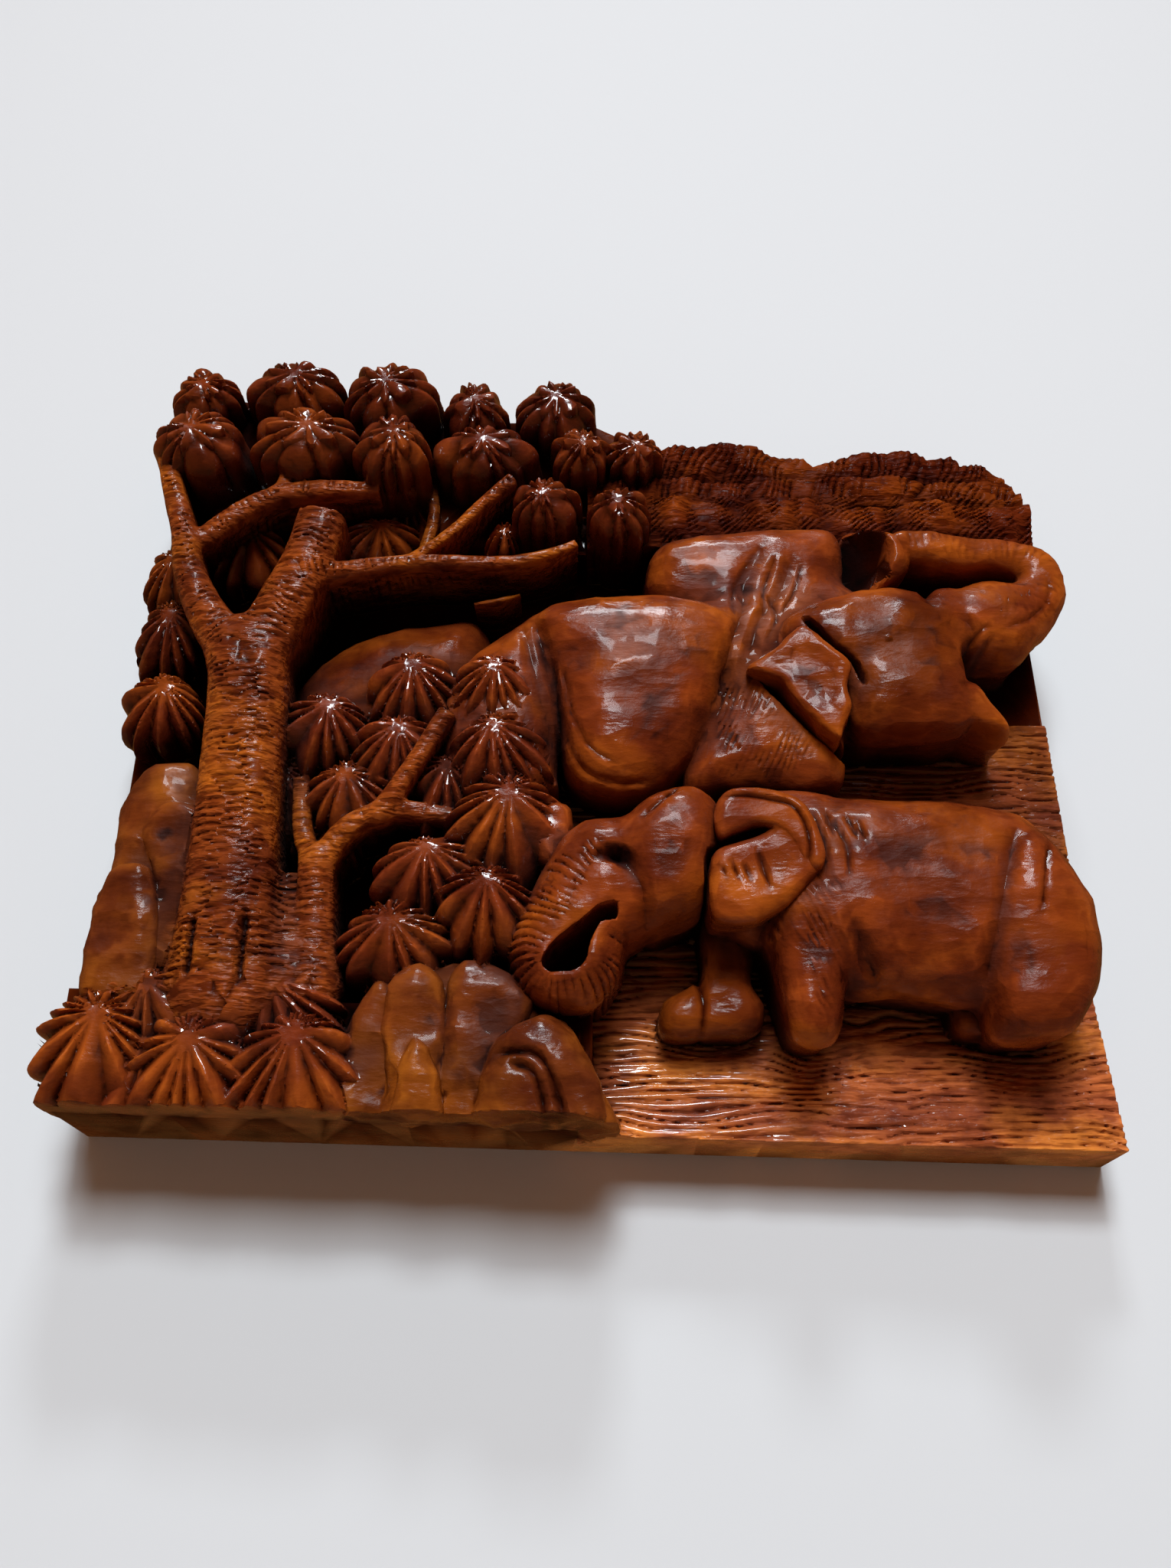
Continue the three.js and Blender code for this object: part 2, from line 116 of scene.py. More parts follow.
# What a place on the surface belongs to, for its colour and its fine marks.
BOARD, BACK, CROWN_LEAF, THICKET_LEAF, BARK, ROCK, SKIN, GROUND, WOODS, TUSK = range(10)

# Balls of leaves: x, z, half width, half height, rise of the middle, rise of the front.
CROWN = [
    (-134.5, 254, 12.5, 12, 32, 43),
    (-103, 256, 18, 13, 34, 46),
    (-69.5, 253, 17, 15, 35, 48),
    (-133.5, 232.5, 16, 15, 39, 52),
    (-98.5, 233, 20, 14, 41, 54),
    (-68, 229.5, 13, 15, 42, 55),
    (-40, 247, 12, 13, 32, 43),
    (-12.5, 246, 14.5, 14, 32, 44),
    (-36, 228.5, 19, 12, 37, 48),
    (-4, 229, 11, 11, 36, 46),
    (14, 230, 11, 10, 34, 42),
    (-15, 207, 12, 11, 39, 50),
    (9.5, 203, 11, 11, 40, 51),
]
BEHIND_BRANCHES = [
    (-70, 191, 14, 9, 20, 30),
    (-29, 191, 5, 6, 24, 34),
    (-113, 187, 13, 13, 20, 29),
    (-113, 203, 12, 9, 20, 28),
    (-60, 205, 12, 9, 20, 28),
    (-10, 196, 13, 7, 22, 30),
    (-132, 128, 12, 12, 24, 36),
    (-134, 154, 9, 14, 20, 29),
    (-135, 177, 9, 12, 20, 29),
]
THICKET = [
    (-55, 135, 15, 13, 33, 44),
    (-31, 135, 12, 12, 38, 49),
    (-82, 121, 14, 13, 30, 41),
    (-59, 113.5, 14, 12, 33, 44),
    (-28, 113.5, 14, 13, 38, 49),
    (-72, 98, 13, 12, 30, 41),
    (-44, 100, 9, 12, 32, 43),
    (-92, 97, 10, 17, 22, 34),
    (-25.5, 88, 17, 17, 36, 49),
    (-47, 73, 17, 12, 34, 46),
    (-30.5, 62, 14, 14, 37, 49),
    (-56, 52, 16, 13, 33, 45),
    (-76, 85, 8, 8, 24, 32),
]
FOREGROUND = [
    (-124, 34, 17, 12, 35, 43),
    (-90, 34, 19, 12, 35, 43),
    (-123, 12, 13, 15, 36, 43),
    (-95, 11, 13, 15, 36, 43),
    (-137, 20, 15, 19, 36, 46),
    (-109, 16, 17, 17, 37, 47),
    (-81, 15, 17, 18, 38, 48),
]
BALL_GROWTH = 1.03

# How the balls are carved: the kind of leaf, the number of leaves in a ring, the height of the hub that they
# fall from, as a share of the ball's half height, how far out the upper ring of leaves reaches, as a share of
# the way, the depth of the folds, and how full the dome is. A reach past 1 leaves only one ring.
CROWN_STYLE = {"kind": CROWN_LEAF, "leaves": 11, "hub": 0.2, "reach": 0.6, "depth": 1.7, "fullness": 3.0}
THICKET_STYLE = {"kind": THICKET_LEAF, "leaves": 17, "hub": 0.6, "reach": 2.0, "depth": 2.3, "fullness": 2.7}

# Where there are two rings, how far the upper leaves stand out, and how far the lower ones lie back.
LEAF_LIFT = 0.9
LEAF_DROP = 0.4

# How much the leaves of a ring differ: the shares of their length, and their height and tilt.
LEAF_LENGTHS = (0.86, 1.1)
LEAF_HEIGHTS = 0.7
LEAF_TILT = 1.5

# The balls outside the crown are numbered from here, and each ball's number is its random seed.
THICKET_SEED = 40

# Blocks of the grid that hold whole groups of forms: lowest and highest x, lowest and highest z, and front.
BIG_TREE_BLOCK = (-160, 5, 20, 240, 56)
TWIG_BLOCK = (-100, -10, 36, 225, 50)
SMALL_TREE_BLOCK = (-100, -30, 36, 145, 50)
FRONT_BLOCK = (-34, 152, 18, 112, 60)
BACK_BLOCK = (-100, 158, 92, 206, 58)
WOODS_BLOCK = (4, 150, 198, 252, 37)

# Limbs: x, z, rise of the middle, radius. A limb that ends thinner than THIN_LIMB is nearly round, and its
# walls narrow most towards the board.
BIG_TREE = [
    (-101, 40, 28, 19),
    (-103, 58, 33, 15.5),
    (-105, 80, 36, 13),
    (-106, 110, 37, 12.5),
    (-107, 138, 38, 12.5),
    (-110, 152, 38, 12),
]
TREE_BASE = [(-89, 42, 28, 15), (-87, 60, 29, 12), (-86, 74, 28, 8)]
BIG_LIMBS = [
    [
        (-113, 152, 39, 8.6), (-124.5, 168, 41, 6.4), (-132, 184, 42, 5.2), (-136, 200, 43, 4.3),
        (-142, 218, 43, 3.6), (-146.5, 232, 42, 3),
    ],
    [(-106, 150, 39, 10), (-99, 170, 41, 9), (-93, 188, 42, 8.4), (-90, 205, 43, 8.2)],
    [
        (-94, 181, 42, 4.4), (-78, 185, 43, 3.2), (-60, 188, 43.5, 2.5), (-45, 188, 43.5, 2.3),
        (-28, 188, 43, 2.1), (-15, 191, 43, 1.8), (-5, 195.5, 42, 1.4),
    ],
    [(-60, 189, 42, 1.8), (-48, 199, 42, 1.8), (-36, 213, 43, 2), (-27, 222, 43, 2.6)],
    [
        (-129, 197, 41, 4), (-118, 208, 42, 3.8), (-107, 215, 43, 3.4), (-92, 217.5, 43, 3.6),
        (-72, 218.5, 43, 1.9),
    ],
    [(-106, 215, 43, 2.6), (-103, 228, 43, 2.2)],
]
TWIGS = [
    [(-56, 190, 30, 2.2), (-53, 205, 30, 2), (-54, 220, 30, 1.6)],
    [(-38, 171.5, 33, 0.5), (-31, 172.5, 34, 0.9), (-23, 175, 33, 0.5)],
]
SMALL_TREE_LIMBS = [
    [(-79, 42, 34, 9), (-80, 58, 36, 6.4), (-81, 80, 38, 5)],
    [(-81, 78, 38, 3.4), (-86, 90, 36, 3), (-88, 108, 34, 2.6)],
    [(-81, 78, 38, 4), (-73, 91, 39, 3.8), (-60, 97, 40, 3.4), (-42, 95, 40, 2.8)],
    [(-64, 96, 42, 3.2), (-55, 112, 45, 2.8), (-45, 131, 46, 3)],
]
THIN_LIMB = 4
BARK_PITCH = 2.4
BARK_DEPTH = 1.1
TWIG_BARK_DEPTH = 0.5
SMALL_BARK_DEPTH = 0.7

# The ridges across a limb or a trunk reach this share of the way out to its sides.
RINGED_SHARE = 0.9
ROOT_GROOVES = [[(-115, 64), (-115, 45)], [(-100, 64), (-100, 44)]]

# Swelling forms: an outline, the rise at which its edge starts to round over, and the rise of its front. The
# outline is read this share of the way from the one rise to the other.
READING_SHARE = 0.7

# How far the walls of all forms move up for each millimetre that they go back.
LEAN = 0.16

ROCKS = [
    (
        [
            (-143, 42), (-144, 60), (-142, 80), (-142, 100), (-138, 110), (-130, 114), (-121, 113),
            (-117, 104), (-116, 80), (-117, 42),
        ],
        31,
        39,
    ),
    ([(-134, 90), (-128, 99), (-119, 96), (-117, 80), (-118, 50), (-127, 50), (-128, 74)], 37, 41),
    ([(-144, 40), (-145, 60), (-142, 76), (-134, 80), (-128, 74), (-125, 58), (-126, 40)], 38, 43.5),
    (
        [
            (-68, -6), (-70, 15), (-68, 34), (-61, 45), (-54, 50), (-46, 48), (-38, 50), (-26, 48), (-19, 40),
            (-14, 34), (-8, 30), (0, 18), (4, -6),
        ],
        35,
        42.5,
    ),
    ([(-69, -6), (-70, 15), (-67, 34), (-61, 44), (-56, 38), (-54.5, 20), (-56.5, -6)], 38.5, 43.5),
    (
        [(-58, -6), (-57, 16), (-59, 34), (-56, 46), (-50, 49.5), (-44, 46), (-41, 36), (-41, 16), (-43, -6)],
        40,
        45.5,
    ),
    ([(-56, -6), (-54, 14), (-50, 28), (-44, 22), (-41, 10), (-41, -6)], 43.5, 48),
    (
        [(-42.5, 12), (-42, 30), (-40, 46), (-35, 50.5), (-26, 48.5), (-18, 40), (-20, 28), (-28, 12)],
        39.5,
        45,
    ),
    ([(-43, -6), (-42, 8), (-36, 18), (-29, 14), (-27, -6)], 41, 44.5),
    ([(-33, -6), (-32, 12), (-28, 26), (-20, 33), (-12, 35), (-5, 30), (0, 20), (3, 5), (4, -6)], 41, 50),
]
ROCK_CREASES = [
    [(-22, 20), (-16, 17), (-13, 6), (-13, -2)],
    [(-26, 23), (-15, 22), (-9, 10), (-8, -2)],
]
ROCK_CREASE_DEPTH = 1.6

# The elephant in front, which walks to the left. Each swelling form has an outline, the rise at which its
# edge starts to round over, and the rise of its front.
FRONT_BODY = (
    [
        (52, 84), (58, 98), (72, 103), (90, 104), (108, 103), (124, 100), (134, 94.5), (141, 84), (146, 70),
        (147, 58), (145, 48), (140, 43), (128, 40.5), (108, 40.5), (88, 43.5), (72, 47), (54, 60),
    ],
    34,
    54,
)
FRONT_NECK = (
    [(34, 90), (40, 104), (56, 106), (72, 102), (80, 84), (76, 64), (62, 56), (48, 57), (36, 66)],
    34,
    49,
)
FRONT_HEAD = (
    [
        (10, 86), (11.5, 97), (17, 104), (26, 108), (34, 106), (39, 98), (38.5, 84), (35.5, 71), (27, 64.5),
        (15, 65), (10, 74),
    ],
    38,
    56,
)
FRONT_FACE = (
    [
        (24, 92), (14, 96), (4, 97), (-5, 94), (-11, 87), (-16, 78), (-20, 68), (-24, 58), (-24, 50),
        (-19, 41.5), (-10, 37.5), (-2, 37.5), (4, 41.5), (8.5, 48.5), (10, 57), (16, 60), (21, 70),
    ],
    40,
    53,
)
FRONT_TRUNK_HOLE = [
    (7, 66.5), (2, 65.5), (-4, 60), (-11, 54), (-14.5, 48.5), (-12, 45), (-6, 44.8), (-1.8, 48), (-0.3, 54),
    (2.5, 59.5), (7, 61.5),
]
FRONT_TRUNK_LINE = [
    (2, 87, 53, 3), (-8, 77, 52, 8), (-15, 66, 51, 9), (-19, 55, 50, 7), (-19, 47, 48, 6), (-13, 41, 47, 5),
    (-4, 41, 47, 5), (4, 46, 47, 5), (6, 53, 47, 4), (7, 58, 47, 3),
]
FRONT_TUSK = ([(-15, 99), (-7, 99.5), (-5.5, 91), (-7, 83), (-14, 78), (-17, 82), (-16, 90)], 36, 46)
FRONT_FORELEG = (
    [
        (53, 70), (62, 78), (77, 70), (75, 54), (72, 42), (70, 34), (67.5, 28.5), (61, 27.5), (57, 30),
        (55, 38), (53, 50),
    ],
    41,
    52,
)
FRONT_THIGH = (
    [
        (124, 86), (134, 89), (143, 76), (146.5, 60), (145, 47), (140, 37), (134, 30.5), (117, 29.5),
        (113.5, 35), (115, 48), (120, 68),
    ],
    39,
    55.5,
)
FRONT_FAR_FORELEG = (
    [
        (32, 68), (46, 64), (45, 50), (44.5, 43), (48, 38), (47.5, 31), (42, 28.5), (31, 28), (20, 28.5),
        (18.5, 33), (21, 39), (27, 43), (31, 49),
    ],
    26,
    34,
)
FRONT_FAR_HIND_FOOT = ([(102, 46), (112, 46), (112, 29), (104, 28), (101, 31)], 24, 32)
FRONT_SHOULDER_FLAP = ([(73, 62), (78, 60), (83, 45), (74, 42), (71, 50)], 34, 45)
FRONT_EAR_FLAP = [
    (35.5, 63), (34.5, 72), (36, 82), (39, 86), (46, 88.5), (52, 91), (56, 93.5), (60, 91), (64, 85),
    (67.5, 79.5), (62, 73), (55, 66.5), (46, 63),
]
FRONT_EAR_BAND = [
    (38, 89.5), (38, 100), (43, 104.5), (54, 105), (62, 102), (66.5, 95.5), (69, 86), (67.5, 79), (63.5, 81),
    (60, 87), (57, 91), (50, 92.8), (44, 91),
]
FRONT_EAR_RIM = [(40, 101.5), (46, 102), (54, 101), (60, 99), (63.5, 93), (64.5, 86), (64, 81)]
FRONT_EAR_SLITS = [[(36, 85), (42, 88), (48, 90.5), (54, 92)], [(35, 84), (34.5, 74), (34, 61)]]
FRONT_EAR_ROOT = 34
FRONT_EAR_FRONT = 56

# Folds, lines and other marks on the elephant in front.
FRONT_FOLDS = [
    [(126, 91), (122, 80), (117, 64), (112, 46)],
    [(10, 79), (14, 72), (15.5, 62)],
    [(74, 62), (78, 53), (82, 45)],
    [(49, 60), (52, 68), (60, 76)],
]
FRONT_LINES = [
    [(72, 94), (75, 85), (75, 76)],
    [(66, 98), (69, 86), (68, 76)],
    [(70, 99), (72, 88)],
    [(76, 96), (79, 87)],
    [(79, 94), (81, 86)],
    [(135, 86), (131, 74), (129, 64)],
    [(15, 94), (20, 99), (26, 105)],
]
FRONT_FAR_TOES = [(31, 52), (30, 44), (31, 36), (30, 29)]
FRONT_EAR_WRINKLES = [
    [(38, 80), (39.5, 75)],
    [(41, 81), (43, 75)],
    [(44.5, 80), (46.5, 75)],
    [(49, 84), (52, 72)],
]
FRONT_SHOULDER_MARKS = [(48, 58), (52, 68), (60, 77), (74, 76), (74, 56), (71, 34), (62, 32), (60, 50)]
FRONT_EYE = [(3.5, 82.5), (7, 82.5), (10, 80.5)]
FRONT_HOLLOW_FLOOR = 17
TRUNK_RING_PITCH = 2.3
TRUNK_RING_DEPTH = 1.0
HATCHING_PITCH = 2.0
HATCHING_DEPTH = 0.6

# The elephant behind, which walks to the right with its trunk thrown back over its head.
BACK_RUMP = (
    [
        (-97, 124), (-95, 140), (-86, 154), (-70, 164), (-52, 168), (-34, 165), (-32, 124), (-50, 98),
        (-84, 98),
    ],
    15,
    34,
)
BACK_HIP = (
    [
        (-47, 120), (-46, 138), (-40, 152), (-28, 162), (-16, 168), (-7, 152), (-9, 124), (-12, 104),
        (-24, 100), (-40, 104),
    ],
    28,
    46,
)
BACK_FLANK = (
    [
        (-20, 166), (-10, 174), (6, 176.5), (24, 177), (40, 173), (49, 162), (47, 150), (39, 134), (32, 121),
        (24, 111), (14, 105.5), (2, 106.5), (-7, 113), (-12, 126), (-14, 146),
    ],
    34,
    51,
)
BACK_SHOULDER = (
    [
        (38, 172), (56, 174), (70, 166), (80, 150), (79, 125), (76, 107), (60, 105), (42, 105), (29, 106),
        (33, 124), (38, 146),
    ],
    32,
    45,
)
BACK_NECK = (
    [
        (20, 174), (18, 186), (21, 195), (27, 199), (45, 201.5), (65, 203), (80, 202.5), (84, 195), (83, 182),
        (86, 170), (70, 160), (44, 160),
    ],
    26,
    42,
)
BACK_BEHIND_EAR = (
    [(50, 176), (84, 178), (100, 160), (100, 130), (80, 126), (62, 130), (48, 142), (44, 160)],
    30,
    42,
)
BACK_HEAD = (
    [
        (63, 168), (71, 173.5), (81, 175.5), (90, 178), (99, 180), (109, 178.5), (118, 176), (121, 167),
        (120, 156), (119.5, 146), (120, 136), (117, 127.5), (100, 126), (85, 126), (81, 134), (79, 146),
        (69, 152), (61, 159),
    ],
    40,
    52,
)
BACK_BROW = [(89, 158, 46, 5.5), (99, 161, 46, 6), (108, 164, 45, 5)]
BACK_TRUNK_ROOT = (
    [(110, 177), (124, 177.5), (136, 177), (141, 170), (142, 161), (138, 154), (128, 153.5), (117, 154)],
    36,
    49,
)
BACK_TRUNK = [
    (128, 166, 36, 11), (137, 166, 37, 10.5), (144.5, 173.5, 38, 8), (145, 182, 38, 7), (138.5, 188, 39, 5.8),
    (124, 190.5, 40, 5.4), (112, 192, 40, 5.8), (103, 192.5, 40, 6.2),
]
BACK_TRUNK_END = (
    [
        (105, 198), (97, 201.5), (90, 204.5), (85.5, 203.5), (82.5, 197), (80.5, 187), (81, 178), (91, 178),
        (99, 182), (105, 187),
    ],
    40,
    47,
)
BACK_TRUNK_CUT = 97
BACK_TRUNK_BOWL = 3
BACK_TUSK = ([(110, 131), (119, 143), (124, 135), (130.5, 124), (118, 125.5)], 34, 47)
BACK_EAR = [
    (69, 164), (76, 155.5), (82, 149), (80.5, 141), (81, 134), (78.5, 127), (76.5, 122.5), (70, 129),
    (64, 137), (60.5, 143.5), (56, 146), (50, 149), (55, 153), (60, 156.5), (63.5, 161),
]
BACK_EAR_ROOT = 28
BACK_EAR_FRONT = 53.5

# Folds, lines and other marks on the elephant behind.
BACK_FOLDS = [
    [(-22, 163), (-17, 140), (-13, 120), (-16, 100)],
    [(-18, 164), (-13, 142), (-10, 126), (-12, 110)],
    [(58, 198), (54, 189), (50, 181), (49, 170), (44, 155), (40, 140)],
    [(66, 190), (62, 178), (54, 165), (50, 152)],
    [(109, 176), (107.5, 170), (110, 164)],
    [(118, 150), (121, 158), (118, 164)],
]
BACK_LINES = [
    [(-12, 150), (-9, 128), (-3, 113), (8, 108), (18, 109)],
    [(-9, 146), (-6, 130), (0, 117), (9, 112)],
    [(54, 194), (47, 180), (46, 168)],
    [(62, 194), (57, 180), (56, 170)],
    [(70, 190), (67, 180), (62, 170)],
    [(58, 178), (60, 168), (56, 158)],
    [(122, 152), (128, 158)],
    [(120, 156), (127, 162)],
    [(131, 160), (140, 164.5), (148, 173), (150, 183)],
]
BACK_EAR_SHADOW = [(55, 142), (61, 134), (69, 124), (76, 118)]
BACK_EAR_LINE = [(69, 166), (76, 157), (83, 150.5), (86, 142)]
BACK_SHOULDER_MARKS = [(36, 108), (38, 140), (48, 147), (60, 132), (70, 118), (60, 106)]
BACK_EYE = (95, 158.5, 52)
BACK_EYE_RADIUS = 1.5
HEAD_DULLNESS = 0.42

# The ground, with long grooves that run across.
GROUND_FROM = -20
GROUND_TOP = 46
GROUND_TOP_RISE = 16
GROUND_LOW_RISE = 23
GROUND_PITCH = 2.5
GROUND_DEPTH = 1.6
FIELD_TOP = 140

# The grooves bend down by GROUND_BEND grooves round these feet: x, z and how far the bend reaches.
GROUND_BEND = 2.4
GROUND_BENDS = [(62, 24, 12), (32, 27, 13), (123, 24, 15)]

# Painted shade: the finish is made dark from this height up, over this distance, where the field lies in
# shade above the ground.
GROUND_SHADOW_FROM = 60
GROUND_SHADOW_OVER = 30

# The skyline of the woods in true places, and the rows of trees: foot, top and front of each.
SKYLINE = [
    (8, 249), (30, 250), (60, 250), (64, 246), (66, 246), (76, 244), (79, 241), (84, 243), (92, 246),
    (108, 248), (117, 246), (120, 244), (129, 245), (132, 241), (140, 242), (146, 236), (148, 224),
]
WOODS_FOOT = 198
WOODS_RIGHT = 149.5
WOODS_ROWS = [(200, 218, 35), (216, 232, 30.5), (230, 252, 26)]
WOODS_PITCH = 2.7
WOODS_DEPTH = 1.6

# The carver's broad facets: kind of form, depth, spacing and seed.
FACETS = [(SKIN, 0.6, 21.0, 5), (ROCK, 0.8, 13.0, 6), (TUSK, 0.5, 9.0, 7)]

# What lies nearer to the wall than this is the back, which is plain.
BACK_LAYER = 0.5

# The wood under its lacquer, in linear red, green and blue, and what marks, wear, stains and painted shade do
# to it.
DARK_GRAIN = (0.09, 0.012, 0.0035, 1)
LIGHT_GRAIN = (0.215, 0.034, 0.005, 1)
ORANGE_PATCH = (0.32, 0.064, 0.005, 1)
BLOT = (0.5, 0.42, 0.6, 1)
STROKE = (0.5, 0.4, 0.4, 1)
WORN_EDGE = (1.7, 2.0, 1.8, 1)
# Darker in narrow grooves, in marked cuts and shaded places, and in deep recesses: partly stain, partly
# painted shade.
GROOVE_STAIN_AND_SHADE = (0.3, 0.2, 0.2, 1)
POOLED_STAIN_AND_SHADE = (0.2, 0.12, 0.14, 1)
RECESS_STAIN_AND_SHADE = (0.17, 0.13, 0.15, 1)

# The shine of the lacquer, and of the forms that are left dull.
SHINE = 0.16
DULL_SHINE = 0.03

# Colour of each kind of form, as a factor on the wood's own colour. The board's factor is painted shade, and
# the ground's is partly a painted sheen.
TONES = {
    # The board behind the forms is painted dark as shade.
    BOARD: (0.3, 0.24, 0.24),
    BACK: (0.7, 0.7, 0.8),
    CROWN_LEAF: (0.85, 0.78, 1.2),
    THICKET_LEAF: (1.1, 1.1, 1.5),
    BARK: (1.45, 1.8, 1.7),
    ROCK: (0.74, 0.9, 1.0),
    SKIN: (1.0, 1.0, 1.0),
    # The ground's pale, greyish tone is partly its own colour and partly a painted sheen.
    GROUND: (2.7, 4.3, 7.5),
    WOODS: (0.62, 0.55, 0.65),
    TUSK: (1.2, 1.3, 1.3),
}

# Painted shade: the finish is darker in the depth behind these forms: how dark it gets, and from which rise
# it is full.
DEPTH_SHADE = {CROWN_LEAF: (0.2, 38), THICKET_LEAF: (0.3, 33), BARK: (0.08, 40), SKIN: (0.3, 38)}

# The lights: angle above the front in degrees, distance and size in metres, watts, colour, and whether the
# lacquer mirrors them. Each fans out by LIGHT_SPREAD degrees.
COOL = (0.88, 0.95, 1.0)
LIGHTS = {
    "key": (29, 4.0, (1.6, 1.2), 17, COOL, False),
    "key_gloss": (38, 4.0, (0.8, 0.5), 8, COOL, True),
    "high": (62, 4.0, (0.7, 0.4), 8, COOL, True),
    "behind": (150, 2.4, (1.5, 1.5), 8, (1.0, 0.97, 0.92), True),
}
LIGHT_SPREAD = 70
SKY_COLOUR = (1.0, 0.38, 0.1, 1)
SKY_STRENGTH = 0.18

# The lights aim this far below the middle of the panel, in metres, and this far to its right.
LIGHT_DROP = 0.3
LIGHT_SHIFT = 0.04

# The camera's lens and sensor in millimetres, and its tilt up from straight down, in degrees.
LENS = 31.0
SENSOR = 36.0
CAMERA_TILT = 116.6

# The stage, in metres: how far it reaches, the height of its floor, and the gap from the back to the wall.
STAGE_REACH = 3
FLOOR_HEIGHT = -1.6
WALL_GAP = 0.0008
WALL_COLOUR = (0.65, 0.67, 0.685)
FLOOR_COLOUR = (0.6, 0.56, 0.52)

# The opening in the wall behind the panel: the outline of the back, a little smaller.
WALL_OPENING = [
    (-144, 16), (144, 8), (144, 230), (108, 238), (16, 240), (-2, 254), (-52, 254), (-60, 262), (-128, 264),
    (-144, 256),
]


def sight_scale(rise):
    """How much larger or smaller a form is at its own depth than on the measuring plane."""
    return (EYE_RISE - rise) / (EYE_RISE - MEASURING_RISE)


def place(x, z, rise):
    """A place on the measuring plane, slid along its line of sight to the given rise."""
    scale = sight_scale(rise)
    return EYE_X + (x - EYE_X) * scale, EYE_Z + (z - EYE_Z) * scale


def placed(points, rise):
    return [place(x, z, rise) for x, z in points]


# The grid.

counts = [int(math.ceil((high - low) / STEP)) + 1 for low, high in zip(GRID_LOW, GRID_HIGH)]
AXES = [(low + STEP * np.arange(count)).astype(np.float32) for low, count in zip(GRID_LOW, counts)]
wood = np.full(counts, OUTSIDE, np.float32)
kinds = np.zeros(counts, np.uint8)
# How dark the finish is made in each cell: stain pooled in cuts, and painted shade.
stains_and_shade = np.zeros(counts, np.uint8)


class Window:
    """A block of the grid. x and z lie in the panel's plane, as two-way arrays, and p is the rise."""

    def __init__(self, x_from, x_to, z_from, z_to, front):
        spans = []
        for axis, (start, end) in enumerate([(x_from, x_to), (-STEP, front), (z_from, z_to)]):
            first = max(0, int((start - MARGIN - GRID_LOW[axis]) / STEP))
            last = min(counts[axis], int((end + MARGIN - GRID_LOW[axis]) / STEP) + 1)
            spans.append(slice(first, last))
        self.cells = tuple(spans)
        self.x = AXES[0][spans[0]][:, None]
        self.z = AXES[2][spans[2]][None, :]
        self.p = AXES[1][spans[1]][None, :, None]

    @classmethod
    def around(cls, points, front):
        xs = [point[0] for point in points]
        zs = [point[1] for point in points]
        return cls(min(xs), max(xs), min(zs), max(zs), front)


def join(window, shape, kind, stain_and_shade=0.0):
    """Adds a shape to the wood with a sharp seam. The last argument is how dark the finish is made there,
    from 0 to 1: partly stain pooled in cuts, partly painted shade in hollows, under leaves and in shaded
    places.
    """
    block = wood[window.cells]
    nearer = shape < block
    np.copyto(block, shape, where=nearer)
    np.copyto(kinds[window.cells], kind, where=nearer)
    stain_and_shade_level = (255 * np.clip(stain_and_shade, 0, 1)).astype(np.uint8)
    if stain_and_shade_level.ndim == 2:
        stain_and_shade_level = stain_and_shade_level[:, None, :]
    np.copyto(stains_and_shade[window.cells], stain_and_shade_level, where=nearer)


def blend(one, other, softness):
    """The join of two shapes with a rounded seam."""
    near = np.maximum(softness - np.abs(one - other), 0)
    return np.minimum(one, other) - near * near / (4 * softness)


# Curves, distances and noise in the panel's plane.


def smooth_curve(points, closed, steps=6):
    """A Catmull-Rom curve through points with any number of values each."""
    points = np.array(points, float)
    count = len(points)
    spans = count if closed else count - 1
    made = []
    for span in range(spans):
        if closed:
            around = [points[(span + offset) % count] for offset in (-1, 0, 1, 2)]
        else:
            around = [points[min(max(span + offset, 0), count - 1)] for offset in (-1, 0, 1, 2)]
        before, start, end, after = around
        for step in range(steps):
            t = step / steps
            made.append(
                0.5
                * (
                    2 * start
                    + (end - before) * t
                    + (2 * before - 5 * start + 4 * end - after) * t**2
                    + (3 * start - before - 3 * end + after) * t**3
                )
            )
    if not closed:
        made.append(points[-1])
    return np.array(made)


def outline_distance(points, window):
    """Signed distance to a closed outline, negative inside."""
    x, z = window.x, window.z
    nearest = np.full((x.shape[0], z.shape[1]), 1e9, np.float32)
    inside = np.zeros(nearest.shape, bool)
    for (ax, az), (bx, bz) in zip(points, np.roll(points, -1, axis=0)):
        run_x, run_z = bx - ax, bz - az
        along = np.clip(((x - ax) * run_x + (z - az) * run_z) / (run_x**2 + run_z**2 + 1e-9), 0, 1)
        nearest = np.minimum(nearest, (x - ax - along * run_x) ** 2 + (z - az - along * run_z) ** 2)
        if az != bz:
            inside ^= ((az > z) != (bz > z)) & (x < run_x * (z - az) / run_z + ax)
    return np.where(inside, -1, 1) * np.sqrt(nearest)


